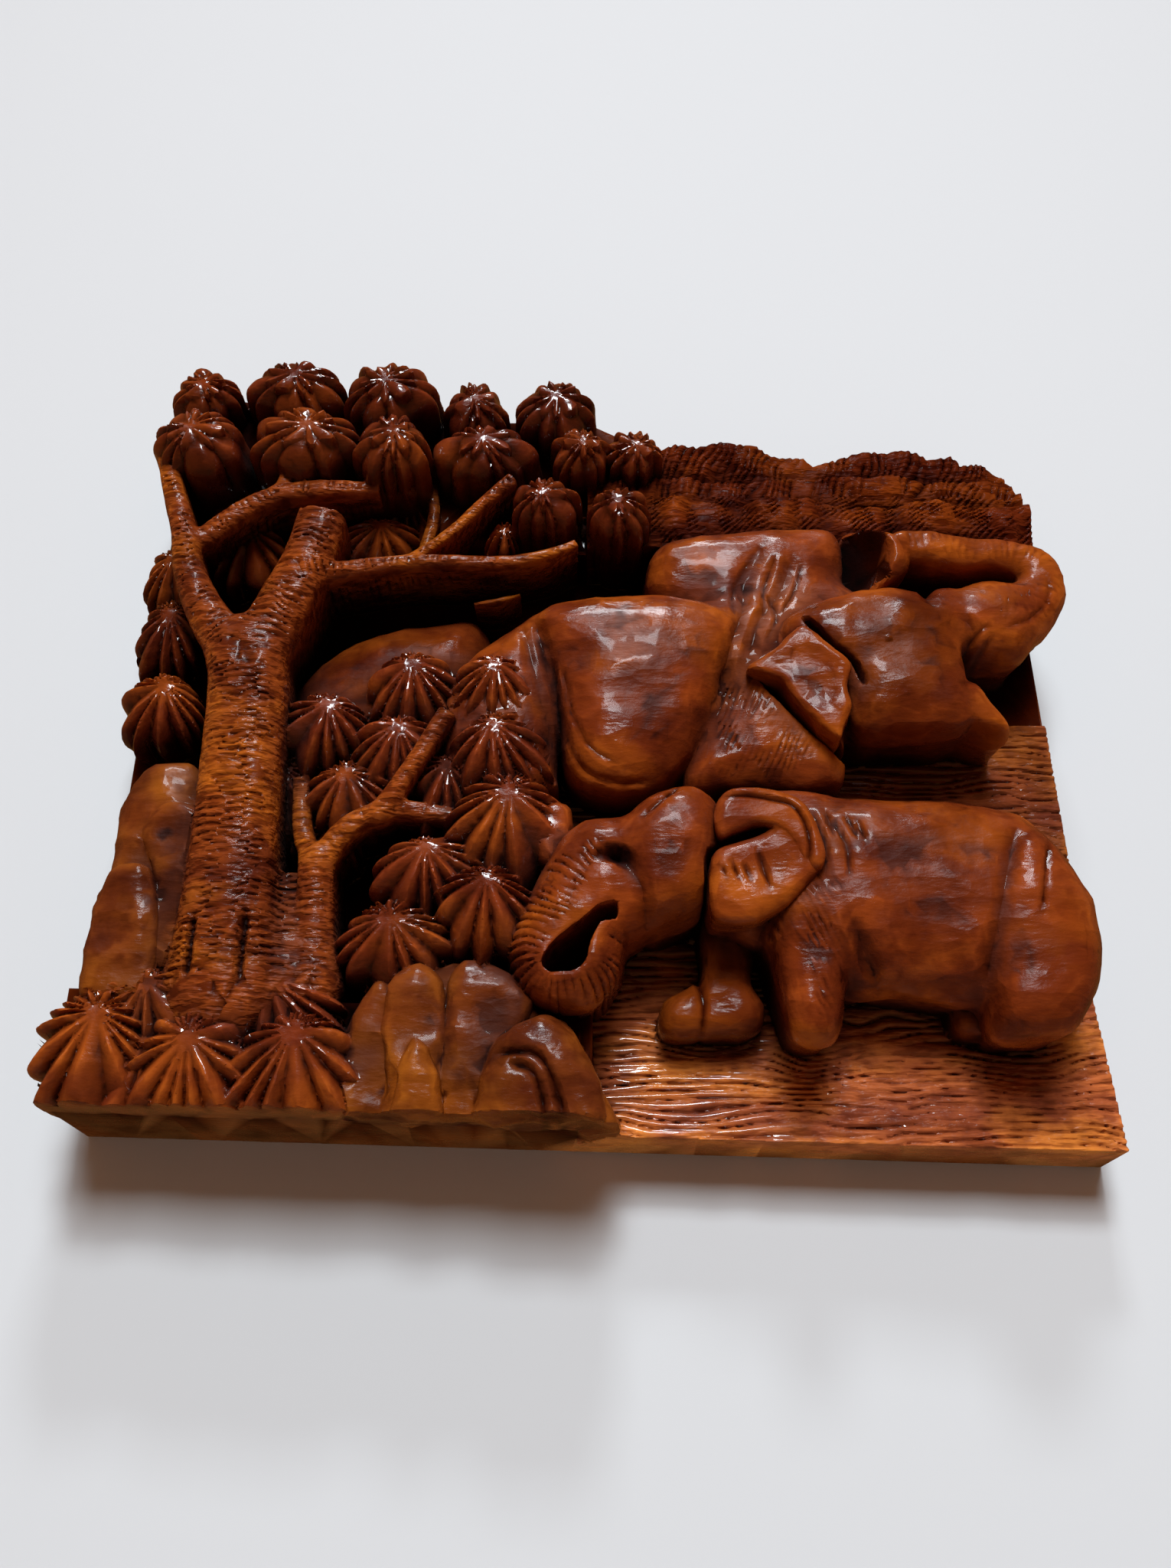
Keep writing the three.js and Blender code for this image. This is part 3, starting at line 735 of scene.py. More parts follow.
def path_distance(path, window, radius_column=None):
    """Distance to an open path, with the path's values and the length along it at the nearest point."""
    x, z = window.x, window.z
    shape = (x.shape[0], z.shape[1])
    nearest = np.full(shape, 1e9, np.float32)
    rank = np.full(shape, 1e9, np.float32)
    length = np.zeros(shape, np.float32)
    values = [np.zeros(shape, np.float32) for _ in range(path.shape[1] - 2)]
    travelled = 0.0
    for start, end in zip(path[:-1], path[1:]):
        run_x, run_z = end[:2] - start[:2]
        run = math.hypot(run_x, run_z) + 1e-9
        along = np.clip(((x - start[0]) * run_x + (z - start[1]) * run_z) / run**2, 0, 1)
        apart = np.hypot(x - start[0] - along * run_x, z - start[1] - along * run_z)
        order = apart
        if radius_column is not None:
            order = apart - (start[radius_column] + (end[radius_column] - start[radius_column]) * along)
        closer = order < rank
        rank = np.where(closer, order, rank)
        nearest = np.where(closer, apart, nearest)
        length = np.where(closer, travelled + along * run, length)
        for i, value in enumerate(values):
            here = start[i + 2] + (end[i + 2] - start[i + 2]) * along
            values[i] = np.where(closer, here, value)
        travelled += run
    return nearest, length, travelled, values


def blurred(array, radius):
    """Two passes of a box blur each way."""
    size = max(1, int(round(radius / STEP)))
    for axis in (0, 1):
        for _ in range(2):
            widths = [(size + 1, size) if a == axis else (0, 0) for a in (0, 1)]
            padded = np.pad(array, widths, mode="edge")
            total = np.cumsum(padded, axis=axis, dtype=np.float64)
            count = array.shape[axis]
            high = np.take(total, np.arange(2 * size + 1, 2 * size + 1 + count), axis=axis)
            low = np.take(total, np.arange(0, count), axis=axis)
            array = (high - low) / (2 * size + 1)
    return array.astype(np.float32)


NOISE_TABLE = np.random.default_rng(7).uniform(-1, 1, 4096).astype(np.float32)
NOISE_PRIMES = (73856093, 19349663, 83492791)


def noise(places, pitch, seed=0):
    """Smooth noise from -1 to 1 at two-way or three-way places, with its bumps about pitch apart."""
    cells = []
    weights = []
    for i, value in enumerate(places):
        scaled = value / (pitch[i] if isinstance(pitch, tuple) else pitch) + 17.3 * seed
        cell = np.floor(scaled).astype(np.int64)
        part = (scaled - cell).astype(np.float32)
        cells.append(cell)
        weights.append(part * part * (3 - 2 * part))
    total = 0
    for corner in range(2 ** len(places)):
        key = seed * 977
        weight = 1
        for i, (cell, part) in enumerate(zip(cells, weights)):
            step = (corner >> i) & 1
            key = key ^ ((cell + step) * NOISE_PRIMES[i])
            weight = weight * (part if step else 1 - part)
        total = total + NOISE_TABLE[key & 4095] * weight
    return total


def stripes(position, sharpness=2.2):
    """Sharp valleys between rounded ridges, one for each step of position: 1 in a valley, 0 on a ridge."""
    across = np.abs(2 * (position - np.floor(position)) - 1)
    return across**sharpness


def creases(window, lines, rise, width, depth):
    """Grooves cut along lines, as the depth that they take off."""
    cut = np.zeros((window.x.shape[0], window.z.shape[1]), np.float32)
    for line in lines:
        path = smooth_curve(placed(line, rise), closed=False)
        apart, length, total, _ = path_distance(path, window)
        fade = np.clip(np.minimum(length, total - length) / 4 + 0.35, 0, 1)
        cut = np.maximum(cut, depth * fade * np.clip(1 - apart / width, 0, 1))
    return cut


def inside_region(window, outline, rise, soft=3.0):
    """1 well inside an outline, fading to 0 at its edge."""
    return np.clip(-outline_distance(placed(outline, rise), window) / soft, 0, 1)


# The forms.


def board():
    for outline, rise in STOCK:
        window = Window.around(outline, rise)
        edge = outline_distance(outline, window)
        join(window, np.maximum(edge[:, None, :], window.p - rise), BOARD)


def leaning(window, flat, wall):
    """A map in the panel's plane as a block, moved up behind the wall's rise by the lean of all walls."""
    shift = LEAN * np.maximum(wall - window.p[0, :, 0], 0) / STEP
    whole = np.floor(shift).astype(int)
    part = (shift - whole).astype(np.float32)[:, None]
    columns = np.arange(flat.shape[1])
    near = np.maximum(columns[None, :] - whole[:, None], 0)
    far = np.maximum(near - 1, 0)
    return flat[:, near] * (1 - part) + flat[:, far] * part


def pillow(window, outline, wall, front, fullness=3.0, rounding=1.5):
    """A swelling form: leaning walls out of the board, which round over to a full front."""
    edge = smooth_curve(placed(outline, wall + READING_SHARE * (front - wall)), closed=True)
    apart = blurred(outline_distance(edge, window), rounding)
    reach = -float(apart.min())
    size = min(reach, front - wall)
    inward = np.maximum(apart + reach, 0) / reach
    lift = np.maximum(window.p - wall, 0) / (front - wall)
    shape = ((((inward**fullness)[:, None, :] + lift**fullness) ** (1 / fullness)) - 1) * size
    deep = window.p[0, :, 0] < wall
    shape[:, deep] = leaning(window, (inward - 1) * size, wall)[:, deep]
    return shape


def limb(window, stations, squareness=2.0, pinch=0.25, cut_end=False):
    """A limb along a line of places: round in front, with walls that narrow towards the board."""
    seen = [(*place(x, z, rise), rise, radius * sight_scale(rise)) for x, z, rise, radius in stations]
    path = smooth_curve(seen, closed=False)
    apart, _, _, (rise, radius) = path_distance(path, window, radius_column=3)
    forward = np.maximum(window.p - rise[:, None, :], 0)
    if squareness == 2.0:
        around = np.hypot(apart[:, None, :], forward)
    else:
        around = ((apart**squareness)[:, None, :] + forward**squareness) ** (1 / squareness)
    shape = around - radius[:, None, :]
    wall = min(station[2] for station in stations)
    deep = window.p[0, :, 0] < wall
    narrowing = (pinch * (wall - window.p) / wall)[:, deep]
    walls = leaning(window, apart - radius, wall)[:, deep]
    shape[:, deep] = walls + narrowing * leaning(window, radius, wall)[:, deep]
    if cut_end:
        run_x, run_z = path[-1, :2] - path[-2, :2]
        beyond = (window.x - path[-1, 0]) * run_x + (window.z - path[-1, 1]) * run_z
        shape = np.maximum(shape, leaning(window, beyond / math.hypot(run_x, run_z), wall))
    return shape


def rings(window, stations, pitch, seed, chop=0.0):
    """Broken ridges across a limb, as the share of their depth taken off between them."""
    seen = [(*place(x, z, rise), radius) for x, z, rise, radius in stations]
    path = smooth_curve(seen, closed=False)
    apart, length, _, (radius,) = path_distance(path, window)
    places = (window.x, window.z)
    wander = 0.5 * noise(places, (5.0, 8.0), seed + 1)
    column = np.floor(window.x / 5.5 + 0.7 * noise(places, 9.0, seed + 4)).astype(np.int64)
    shift = chop * NOISE_TABLE[(column * 193 + seed) & 4095]
    patchy = np.clip(0.75 + 0.9 * noise(places, 5.0, seed + 2), 0, 1)
    inside = np.clip((RINGED_SHARE * radius - apart) / 2, 0, 1)
    return patchy * inside * stripes(length / pitch + wander + shift, 3.0)


def plate(window, outline, root, front, rounding=2.5, dish=0.0, tilt=(0.0, 0.0)):
    """A leaf of wood with a rounded front edge, dished in the middle and tilted along x and z."""
    points = np.array(placed(outline, front))
    apart = outline_distance(smooth_curve(points, True, 4), window)
    middle = points.mean(axis=0)
    top = front + tilt[0] * (window.x - middle[0]) + tilt[1] * (window.z - middle[1])
    top = top - dish * np.clip(-apart / 6, 0, 1) ** 1.5
    side = np.maximum(leaning(window, apart, front) + rounding, 0)
    lift = np.maximum(window.p - top[:, None, :] + rounding, 0)
    shape = np.hypot(side, lift) - rounding
    return np.maximum(shape, root - window.p)


def leaf_ring(turn, leaves, depth, outward, chance):
    """A ring of leaves, one for each whole step of turn: each is a sharp fold between two V cuts.

    Returns the depth cut off, how far each place is from its leaf's middle line, the darkening in the V cuts,
    partly stain and partly painted shade, and the length."""
    leaf = np.floor(turn).astype(int) % leaves
    side = 2 * (turn - np.floor(turn)) - 1
    across = np.abs(side)
    length = chance.uniform(*LEAF_LENGTHS, leaves)[leaf]
    lift = chance.uniform(-LEAF_HEIGHTS, LEAF_HEIGHTS, leaves)[leaf]
    tilt = chance.uniform(-LEAF_TILT, LEAF_TILT, leaves)[leaf]
    opening = np.clip((outward - 0.04) / 0.5, 0, 1)
    folds = depth * across**1.25 + (1 - across) * (tilt * side - lift)
    carved = opening * folds + (1 - opening) * 0.5 * depth
    return carved, across, opening**0.5 * across**1.8, length


def leaf_ball(ball, seed, kind, leaves, hub, reach, depth, fullness):
    """A dome of folded leaves that fall from a hub near its top, in one ring or two, with painted shade below
    the upper tips and on its lower part.
    """
    x, z, wide, tall, middle_rise, front = ball
    middle_x, middle_z = place(x, z, middle_rise)
    scale = sight_scale(middle_rise) * BALL_GROWTH
    reach_x, reach_z = wide * scale, tall * scale
    chance = np.random.default_rng(seed)
    high = middle_z + 1.5 * reach_z
    window = Window(middle_x - reach_x, middle_x + reach_x, middle_z - reach_z, high, front)
    hub_x = chance.uniform(-0.15, 0.15)
    hub_z = hub + chance.uniform(-0.08, 0.08)
    from_hub_x = (window.x - middle_x) / reach_x - hub_x
    from_hub_z = (window.z - middle_z) / reach_z - hub_z
    slant = from_hub_x * hub_x + from_hub_z * hub_z
    squeeze = 1 - hub_x**2 - hub_z**2
    outward = (slant + np.sqrt(slant**2 + squeeze * (from_hub_x**2 + from_hub_z**2))) / squeeze
    around = np.arctan2(from_hub_z * reach_z, from_hub_x * reach_x)
    phase = chance.uniform(0, TAU, 3)
    turn = leaves * around / TAU + 0.35 * np.sin(2 * around + phase[0]) + 0.2 * np.sin(5 * around + phase[1])
    stretched = outward / min(reach, 1)
    upper, upper_across, upper_groove, length = leaf_ring(turn, leaves, depth, stretched, chance)
    lower, lower_across, lower_groove, _ = leaf_ring(turn + 0.5, leaves, depth, outward, chance)
    tip = reach * length * (1 - 0.5 * upper_across**1.5)
    over = np.clip((tip - outward) / 0.05, 0, 1)
    carved = over * (upper - LEAF_LIFT) + (1 - over) * (lower + LEAF_DROP * (reach < 1))
    # Painted shadow just below the tips of the upper leaves.
    shade = np.clip(1 - (outward - tip) / 0.24, 0, 1)
    stain_and_shade = over * upper_groove + (1 - over) * np.maximum(lower_groove, 0.9 * shade)
    # Painted shade on the lower part of the ball.
    painted_underside_shade = np.clip(-0.05 - (window.z - middle_z) / reach_z, 0, 0.8)
    stain_and_shade = np.maximum(stain_and_shade, painted_underside_shade)
    uneven = 1 + 0.04 * np.sin(3 * around + phase[2]) + 0.03 * np.sin(5 * around + phase[0])
    notched = over * upper_across + (1 - over) * lower_across
    extent = outward * uneven * (1 + 0.04 * notched**2)
    height = front - middle_rise
    size = min(reach_x, reach_z, height)
    forward = np.maximum(window.p - middle_rise, 0) / height
    dome = ((extent**fullness)[:, None, :] + forward**fullness) ** (1 / fullness)
    shape = (dome - 1) * size + carved[:, None, :]
    deep = window.p[0, :, 0] < middle_rise
    plain = (outward * uneven - 1) * size
    fading = np.clip(1 - (middle_rise - window.p) / 14, 0, 1)[:, deep]
    folded = fading * (shape[:, deep] - plain[:, None, :])
    shape[:, deep] = leaning(window, plain, middle_rise)[:, deep] + folded
    join(window, shape, kind, stain_and_shade=stain_and_shade)


def leaf_balls():
    for seed, ball in enumerate(CROWN):
        leaf_ball(ball, seed, **CROWN_STYLE)
    for seed, ball in enumerate(BEHIND_BRANCHES + THICKET + FOREGROUND, start=THICKET_SEED):
        leaf_ball(ball, seed, **THICKET_STYLE)


def grown_limbs(window, limbs, squareness, softness, depth, seed):
    """Limbs that grow softly out of each other, cut with bark, and how deep the bark is cut, as a share."""
    shape = None
    bark = 0.0
    for number, stations in enumerate(limbs):
        thin = stations[-1][3] < THIN_LIMB
        section = {"squareness": 2.2, "pinch": 0.9} if thin else {"squareness": squareness, "pinch": 0.25}
        added = limb(window, stations, **section, cut_end=number > 0)
        shape = added if shape is None else blend(shape, added, softness)
        here = rings(window, stations, BARK_PITCH, seed + 3 * number, chop=0.5)
        bark = np.where(here > 0, here, bark)
    return shape + depth * bark[:, None, :], bark


def trees():
    window = Window(*BIG_TREE_BLOCK)
    limbs = [BIG_TREE, TREE_BASE, *BIG_LIMBS]
    shape, bark = grown_limbs(window, limbs, squareness=2.8, softness=2.0, depth=BARK_DEPTH, seed=1)
    roots = creases(window, ROOT_GROOVES, rise=46, width=1.6, depth=2.6)
    join(window, shape + roots[:, None, :], BARK, np.maximum(bark, roots / 2))
    small_ones = [
        (TWIG_BLOCK, TWIGS, 1.5, TWIG_BARK_DEPTH, 31),
        (SMALL_TREE_BLOCK, SMALL_TREE_LIMBS, 2.5, SMALL_BARK_DEPTH, 51),
    ]
    for block, limbs, softness, depth, seed in small_ones:
        window = Window(*block)
        shape, bark = grown_limbs(window, limbs, 2.2, softness, depth, seed)
        join(window, shape, BARK, 0.8 * bark)


def rocks():
    for outline, wall, front in ROCKS:
        window = Window.around(placed(outline, wall), front)
        shape = pillow(window, outline, wall, front, fullness=3.4, rounding=0.8)
        cut = creases(window, ROCK_CREASES, rise=front - 3, width=1.8, depth=ROCK_CREASE_DEPTH)
        join(window, shape + cut[:, None, :], ROCK, cut / ROCK_CREASE_DEPTH)


def ground():
    """The ground under the elephants, which falls back as it rises and is cut with long wavy grooves. Its
    upper part is painted dark as shade.
    """
    window = Window(GROUND_FROM, RIGHT, GRID_LOW[2], FIELD_TOP, GROUND_LOW_RISE + 2)
    x, z = window.x, window.z
    up = np.clip(z / GROUND_TOP, 0, 1)
    height = GROUND_LOW_RISE + (GROUND_TOP_RISE - GROUND_LOW_RISE) * up
    # Painted shade over the upper field.
    painted_shade = np.clip((z - GROUND_SHADOW_FROM) / GROUND_SHADOW_OVER, 0, 1)
    wave = 0.9 * noise((x, z), (26.0, 9.0), 3) + 0.35 * noise((x, z), (9.0, 5.0), 4)
    for bend_x, bend_z, reach in GROUND_BENDS:
        seat_x, seat_z = place(bend_x, bend_z, GROUND_LOW_RISE)
        away = ((x - seat_x) / reach) ** 2 + ((z - seat_z) / (0.6 * reach)) ** 2
        wave = wave + GROUND_BEND * np.exp(-away)
    broken = np.clip(0.75 + 0.6 * noise((x, z), (17.0, 2.6), 5), 0.15, 1.2)
    groove = broken * stripes(z / GROUND_PITCH + wave, 3.5)
    height = height - GROUND_DEPTH * groove
    edge = np.maximum(np.maximum(GROUND_FROM - x, x - RIGHT), z - FIELD_TOP)
    shape = np.maximum(edge[:, None, :], (window.p - height[:, None, :]) * 0.8)
    join(window, shape, GROUND, np.maximum(0.9 * groove, painted_shade))


def woods():
    """Rows of small trees, one behind the other, hatched with short cuts under an uneven skyline."""
    window = Window(*WOODS_BLOCK)
    x, z = window.x, window.z
    skyline = np.interp(x[:, 0], *zip(*SKYLINE))[:, None]
    height = np.zeros((x.shape[0], z.shape[1]), np.float32)
    for row, (foot, top, front) in enumerate(WOODS_ROWS):
        crest = top + 2.5 * noise((x, 0 * z), 11.0, 20 + row)
        if row == len(WOODS_ROWS) - 1:
            crest = skyline + 0 * z
        up = np.clip((z - foot) / (crest - foot), 0, 1)
        lumps = 2.6 * noise((x, z), (7.5, 13.0), 11 + row)
        swell = front + 2.0 * np.sin(math.pi * up) + lumps
        height = np.maximum(height, swell * np.clip((crest - z) / 1.5, 0, 1) * (z > foot - 2))
    lean = 0.35 + 0.9 * (z < WOODS_ROWS[0][1] + 3)
    cuts = stripes((x - lean * z) / WOODS_PITCH + 0.8 * noise((x, z), 8.0, 31))
    cuts = cuts * np.clip(0.6 + 0.9 * noise((x, z), (4.0, 6.0), 32), 0, 1)
    height = height - WOODS_DEPTH * cuts
    shape = np.minimum((window.p - height[:, None, :]) * 0.6, 6)
    edge = np.maximum(np.maximum(x - WOODS_RIGHT, WOODS_FOOT - z), (z - skyline) * 0.9)
    join(window, np.maximum(shape, edge[:, None, :]), WOODS, cuts)


def swelling(window, forms, softness=5.0, **options):
    """Several swelling forms that grow out of each other."""
    shape = pillow(window, *forms[0], **options)
    for form in forms[1:]:
        shape = blend(shape, pillow(window, *form, **options), softness)
    return shape


def hatching(window, outline, rise, lean, seed):
    """Short slanting cuts over a region, as the share of their depth taken off."""
    where = inside_region(window, outline, rise)
    slant = (window.x + lean * window.z) / HATCHING_PITCH + 0.5 * noise((window.x, window.z), 8.0, seed)
    broken = np.clip(0.6 + 0.8 * noise((window.x, window.z), 6.0, seed + 1), 0, 1)
    return where * broken * stripes(slant)


def front_elephant():
    window = Window(*FRONT_BLOCK)
    toes = creases(window, [FRONT_FAR_TOES], rise=32, width=1.8, depth=1.5)
    far_leg = pillow(window, *FRONT_FAR_FORELEG) + toes[:, None, :]
    # The far foreleg is painted darker all over as shade, and darker still in its toe cuts.
    join(window, far_leg, SKIN, np.maximum(0.3, toes / 1.5))
    join(window, pillow(window, *FRONT_FAR_HIND_FOOT), SKIN)
    body = swelling(window, [FRONT_BODY, FRONT_THIGH, FRONT_NECK, FRONT_FORELEG, FRONT_SHOULDER_FLAP], 4.0)
    hole = outline_distance(smooth_curve(placed(FRONT_TRUNK_HOLE, 47), True, 4), window)
    ridges = rings(window, FRONT_TRUNK_LINE, TRUNK_RING_PITCH, 71) * np.clip(hole / 2.5, 0, 1)
    face = pillow(window, *FRONT_FACE, fullness=2.6) + TRUNK_RING_DEPTH * ridges[:, None, :]
    head = blend(pillow(window, *FRONT_HEAD, fullness=2.6), face, 6)
    head = np.maximum(head, -np.maximum(hole[:, None, :], FRONT_HOLLOW_FLOOR - window.p))
    body = blend(body, head, 2)
    folds = creases(window, FRONT_FOLDS, rise=50, width=3.5, depth=1.3)
    lines = creases(window, FRONT_LINES, rise=52, width=1.3, depth=0.9)
    deep = creases(window, [FRONT_EYE], rise=51, width=3.6, depth=6.0)
    deep = deep + creases(window, FRONT_EAR_SLITS, rise=54, width=1.8, depth=9.0)
    marks = hatching(window, FRONT_SHOULDER_MARKS, rise=50, lean=0.45, seed=41)
    cut = folds + lines + deep + HATCHING_DEPTH * marks
    # Darker in folds, lines, deep cuts and hatching: partly stain, partly painted shade.
    stain_and_shade = np.maximum(0.3 * folds + lines + deep, 0.7 * np.maximum(marks, ridges))
    join(window, body + cut[:, None, :], SKIN, stain_and_shade)
    join(window, pillow(window, *FRONT_TUSK), TUSK)
    flap = plate(window, FRONT_EAR_FLAP, FRONT_EAR_ROOT, FRONT_EAR_FRONT, rounding=3.0, tilt=(0.0, 0.06))
    wrinkles = creases(window, FRONT_EAR_WRINKLES, rise=56, width=1.3, depth=1.1)
    join(window, flap + wrinkles[:, None, :], SKIN, wrinkles)
    band = plate(window, FRONT_EAR_BAND, FRONT_EAR_ROOT, FRONT_EAR_FRONT + 1.5, rounding=2.4)
    rim = creases(window, [FRONT_EAR_RIM], rise=57, width=1.4, depth=1.3)
    join(window, band + rim[:, None, :], SKIN, rim)


def back_elephant():
    window = Window(*BACK_BLOCK)
    join(window, pillow(window, *BACK_RUMP, fullness=2.2), SKIN)
    body = swelling(window, [BACK_HIP, BACK_FLANK], 2.5)
    body = blend(body, swelling(window, [BACK_SHOULDER, BACK_NECK], 4.0), 2.5)
    body = blend(body, pillow(window, *BACK_BEHIND_EAR), 3)
    root = pillow(window, *BACK_TRUNK_ROOT)
    trunk = limb(window, BACK_TRUNK, squareness=2.6)
    head = blend(blend(pillow(window, *BACK_HEAD), limb(window, BACK_BROW), 4), blend(root, trunk, 5), 3)
    cut_face = window.p - (BACK_TRUNK_END[2] - 0.9 * (BACK_TRUNK_CUT - window.x))[:, None]
    bowl = BACK_TRUNK_BOWL * inside_region(window, BACK_TRUNK_END[0], rise=44, soft=7)
    end = np.maximum(pillow(window, *BACK_TRUNK_END), cut_face + bowl[:, None, :])
    join(window, end, SKIN)
    # Painted shade: a dark sheet of board-toned wood over the trunk's cut end, which lies in shade.
    painted_shade = inside_region(window, BACK_TRUNK_END[0], rise=44, soft=1.2) * (window.x < BACK_TRUNK_CUT)
    join(window, np.where(painted_shade[:, None, :] > 0.5, end - 0.02, OUTSIDE), BOARD, 1.0)
    head = blend(head, pillow(window, *BACK_TUSK), 1.5)
    folds = creases(window, BACK_FOLDS, rise=44, width=3.2, depth=1.1)
    lines = creases(window, BACK_LINES, rise=46, width=1.3, depth=0.6)
    deep = creases(window, [BACK_EAR_SHADOW], rise=42, width=3.4, depth=10.0)
    deep = deep + creases(window, [BACK_EAR_LINE], rise=50, width=1.4, depth=4.0)
    ridges = 0.6 * rings(window, BACK_TRUNK, TRUNK_RING_PITCH, 81)
    marks = hatching(window, BACK_SHOULDER_MARKS, rise=42, lean=-0.5, seed=43)
    cut = folds + lines + deep + HATCHING_DEPTH * (marks + ridges)
    dull = HEAD_DULLNESS * inside_region(window, BACK_HEAD[0], rise=50, soft=8)
    # Darker in folds, lines, deep cuts, hatching and trunk ridges, partly stain and partly painted shade, and
    # darker over the head.
    stain_and_shade = np.maximum(0.3 * folds + lines + deep, np.maximum(0.7 * np.maximum(marks, ridges), dull))
    join(window, blend(body, head, 1.5) + cut[:, None, :], SKIN, stain_and_shade)
    eye_x, eye_z = place(*BACK_EYE)
    apart = np.hypot(window.x - eye_x, window.z - eye_z)
    ball = np.hypot(apart[:, None, :], window.p - BACK_EYE[2] + 0.5) - BACK_EYE_RADIUS
    join(window, ball, SKIN, 0.6)
    ear = plate(window, BACK_EAR, BACK_EAR_ROOT, BACK_EAR_FRONT, rounding=2.2, dish=0.8, tilt=(0.1, 0.03))
    join(window, ear, SKIN)


def cut_bottom():
    """The sloping cut along the bottom, and the flat back."""
    slope = LEFT_CORNER_HEIGHT / WIDTH
    low = slope * (WIDTH / 2 - AXES[0])
    np.maximum(wood, (low[:, None] - AXES[2][None, :])[:, None, :], out=wood)
    np.maximum(wood, -AXES[1][None, :, None], out=wood)


# From the field to a mesh.


def field_at(points, array):
    """The value of a grid array at points in millimetres, by the nearest cell."""
    cell = np.rint((points - np.array(GRID_LOW)) / STEP).astype(int)
    cell = np.clip(cell, 0, np.array(array.shape) - 1)
    return array[cell[:, 0], cell[:, 1], cell[:, 2]]


def surface():
    """The vertices, in millimetres, and the four-sided faces of the field's zero surface."""
    grid = openvdb.FloatGrid(OUTSIDE)
    grid.copyFromArray(wood)
    points, _, quads = grid.convertToPolygons(isovalue=0.0, adaptivity=0.0)
    return np.array(GRID_LOW) + STEP * points, quads


def vertex_normals(points, quads):
    one = points[quads[:, 2]] - points[quads[:, 0]]
    two = points[quads[:, 3]] - points[quads[:, 1]]
    face = np.cross(one, two)
    normals = np.zeros_like(points)
    for corner in range(4):
        for axis in range(3):
            normals[:, axis] += np.bincount(quads[:, corner], face[:, axis], len(points))
    return normals / (np.linalg.norm(normals, axis=1, keepdims=True) + 1e-12)


def gouge_marks(points, pitch, seed):
    """Shallow scoops side by side, which meet in low ridges: 0 in a scoop's middle, about 1 on a ridge."""
    cell = np.floor(points / pitch).astype(np.int64)
    nearest = np.full(len(points), 1e9)
    for dx in (-1, 0, 1):
        for dy in (-1, 0, 1):
            for dz in (-1, 0, 1):
                there = cell + (dx, dy, dz)
                key = np.bitwise_xor.reduce(there * NOISE_PRIMES, axis=1)
                shift = np.stack([NOISE_TABLE[(key + seed + 101 * i) & 4095] for i in range(3)], axis=1)
                seat = (there + 0.5 + 0.42 * shift) * pitch
                nearest = np.minimum(nearest, ((points - seat) ** 2).sum(axis=1))
    return nearest / (0.55 * pitch) ** 2


def carve_marks(points, normals, kind):
    """The tool's marks: broad facets on skin and rock, small ones on bark and leaves, none on the back."""
    amount = np.zeros(len(points))
    for form, size, pitch, seed in FACETS:
        here = kind == form
        amount[here] += size * (gouge_marks(points[here], pitch, seed) - 0.6)
        amount[here] += 0.25 * size * (gouge_marks(points[here], 0.42 * pitch, seed) - 0.6)
        amount[here] += 0.12 * noise(points[here].T, 3.0, 9)
    small = np.isin(kind, (BARK, CROWN_LEAF, THICKET_LEAF, WOODS))
    amount[small] += 0.16 * noise(points[small].T, 3.0, 12)
    amount[points[:, 1] < BACK_LAYER] = 0
    return points + normals * amount[:, None]


def main_body(points, quads):
    """Only the faces of the largest connected skin."""
    parent = np.arange(len(points))
    while True:
        low = parent[quads].min(axis=1)
        before = parent.copy()
        for corner in range(4):
            np.minimum.at(parent, quads[:, corner], low)
        parent = parent[parent]
        if np.array_equal(parent, before):
            break
    labels, sizes = np.unique(parent[quads[:, 0]], return_counts=True)
    keep = labels[sizes.argmax()]
    return quads[parent[quads[:, 0]] == keep]


def make_mesh(name, points, quads):
    used = np.zeros(len(points), bool)
    used[quads.ravel()] = True
    number = np.cumsum(used) - 1
    points = points[used]
    quads = number[quads]
    mesh = bpy.data.meshes.new(name)
    mesh.vertices.add(len(points))
    placed_points = np.stack([points[:, 0], -points[:, 1], points[:, 2] - BACK_CENTRE_HEIGHT], axis=1) * MM
    mesh.vertices.foreach_set("co", placed_points.astype(np.float32).ravel())
    mesh.loops.add(quads.size)
    mesh.loops.foreach_set("vertex_index", quads.astype(np.int32).ravel())
    mesh.polygons.add(len(quads))
    mesh.polygons.foreach_set("loop_start", np.arange(0, quads.size, 4, dtype=np.int32))
    mesh.update(calc_edges=True)
    mesh.validate()
    obj = bpy.data.objects.new(name, mesh)
    bpy.context.collection.objects.link(obj)
    return obj


def reduce_triangles(obj, target):
    """Fewer, larger triangles where the surface is plain."""
    triangles = 2 * len(obj.data.polygons)
    modifier = obj.modifiers.new("reduce", "DECIMATE")
    modifier.ratio = target / triangles
    modifier.use_collapse_triangulate = True
    graph = bpy.context.evaluated_depsgraph_get()
    mesh = bpy.data.meshes.new_from_object(obj.evaluated_get(graph))
    obj.modifiers.clear()
    obj.data = mesh


def keep_in_box(mesh):
    """Moves the few vertices that lie past the part's own box onto it."""
    flat = np.empty(len(mesh.vertices) * 3, np.float32)
    mesh.vertices.foreach_get("co", flat)
    low = np.array(CAD_BOX[0]) + BOX_GAP
    high = np.array(CAD_BOX[1]) - (BOX_GAP, 0, BOX_GAP)
    inside = np.clip(flat.reshape(-1, 3), low, high)
    mesh.vertices.foreach_set("co", inside.astype(np.float32).ravel())


def flatten_back(mesh):
    """Flat shading on the back, whose few large faces would show the turn of its rim."""
    flat = np.empty(len(mesh.polygons) * 3, np.float32)
    mesh.polygons.foreach_get("normal", flat)
    mesh.polygons.foreach_set("use_smooth", flat.reshape(-1, 3)[:, 1] < 0.999)


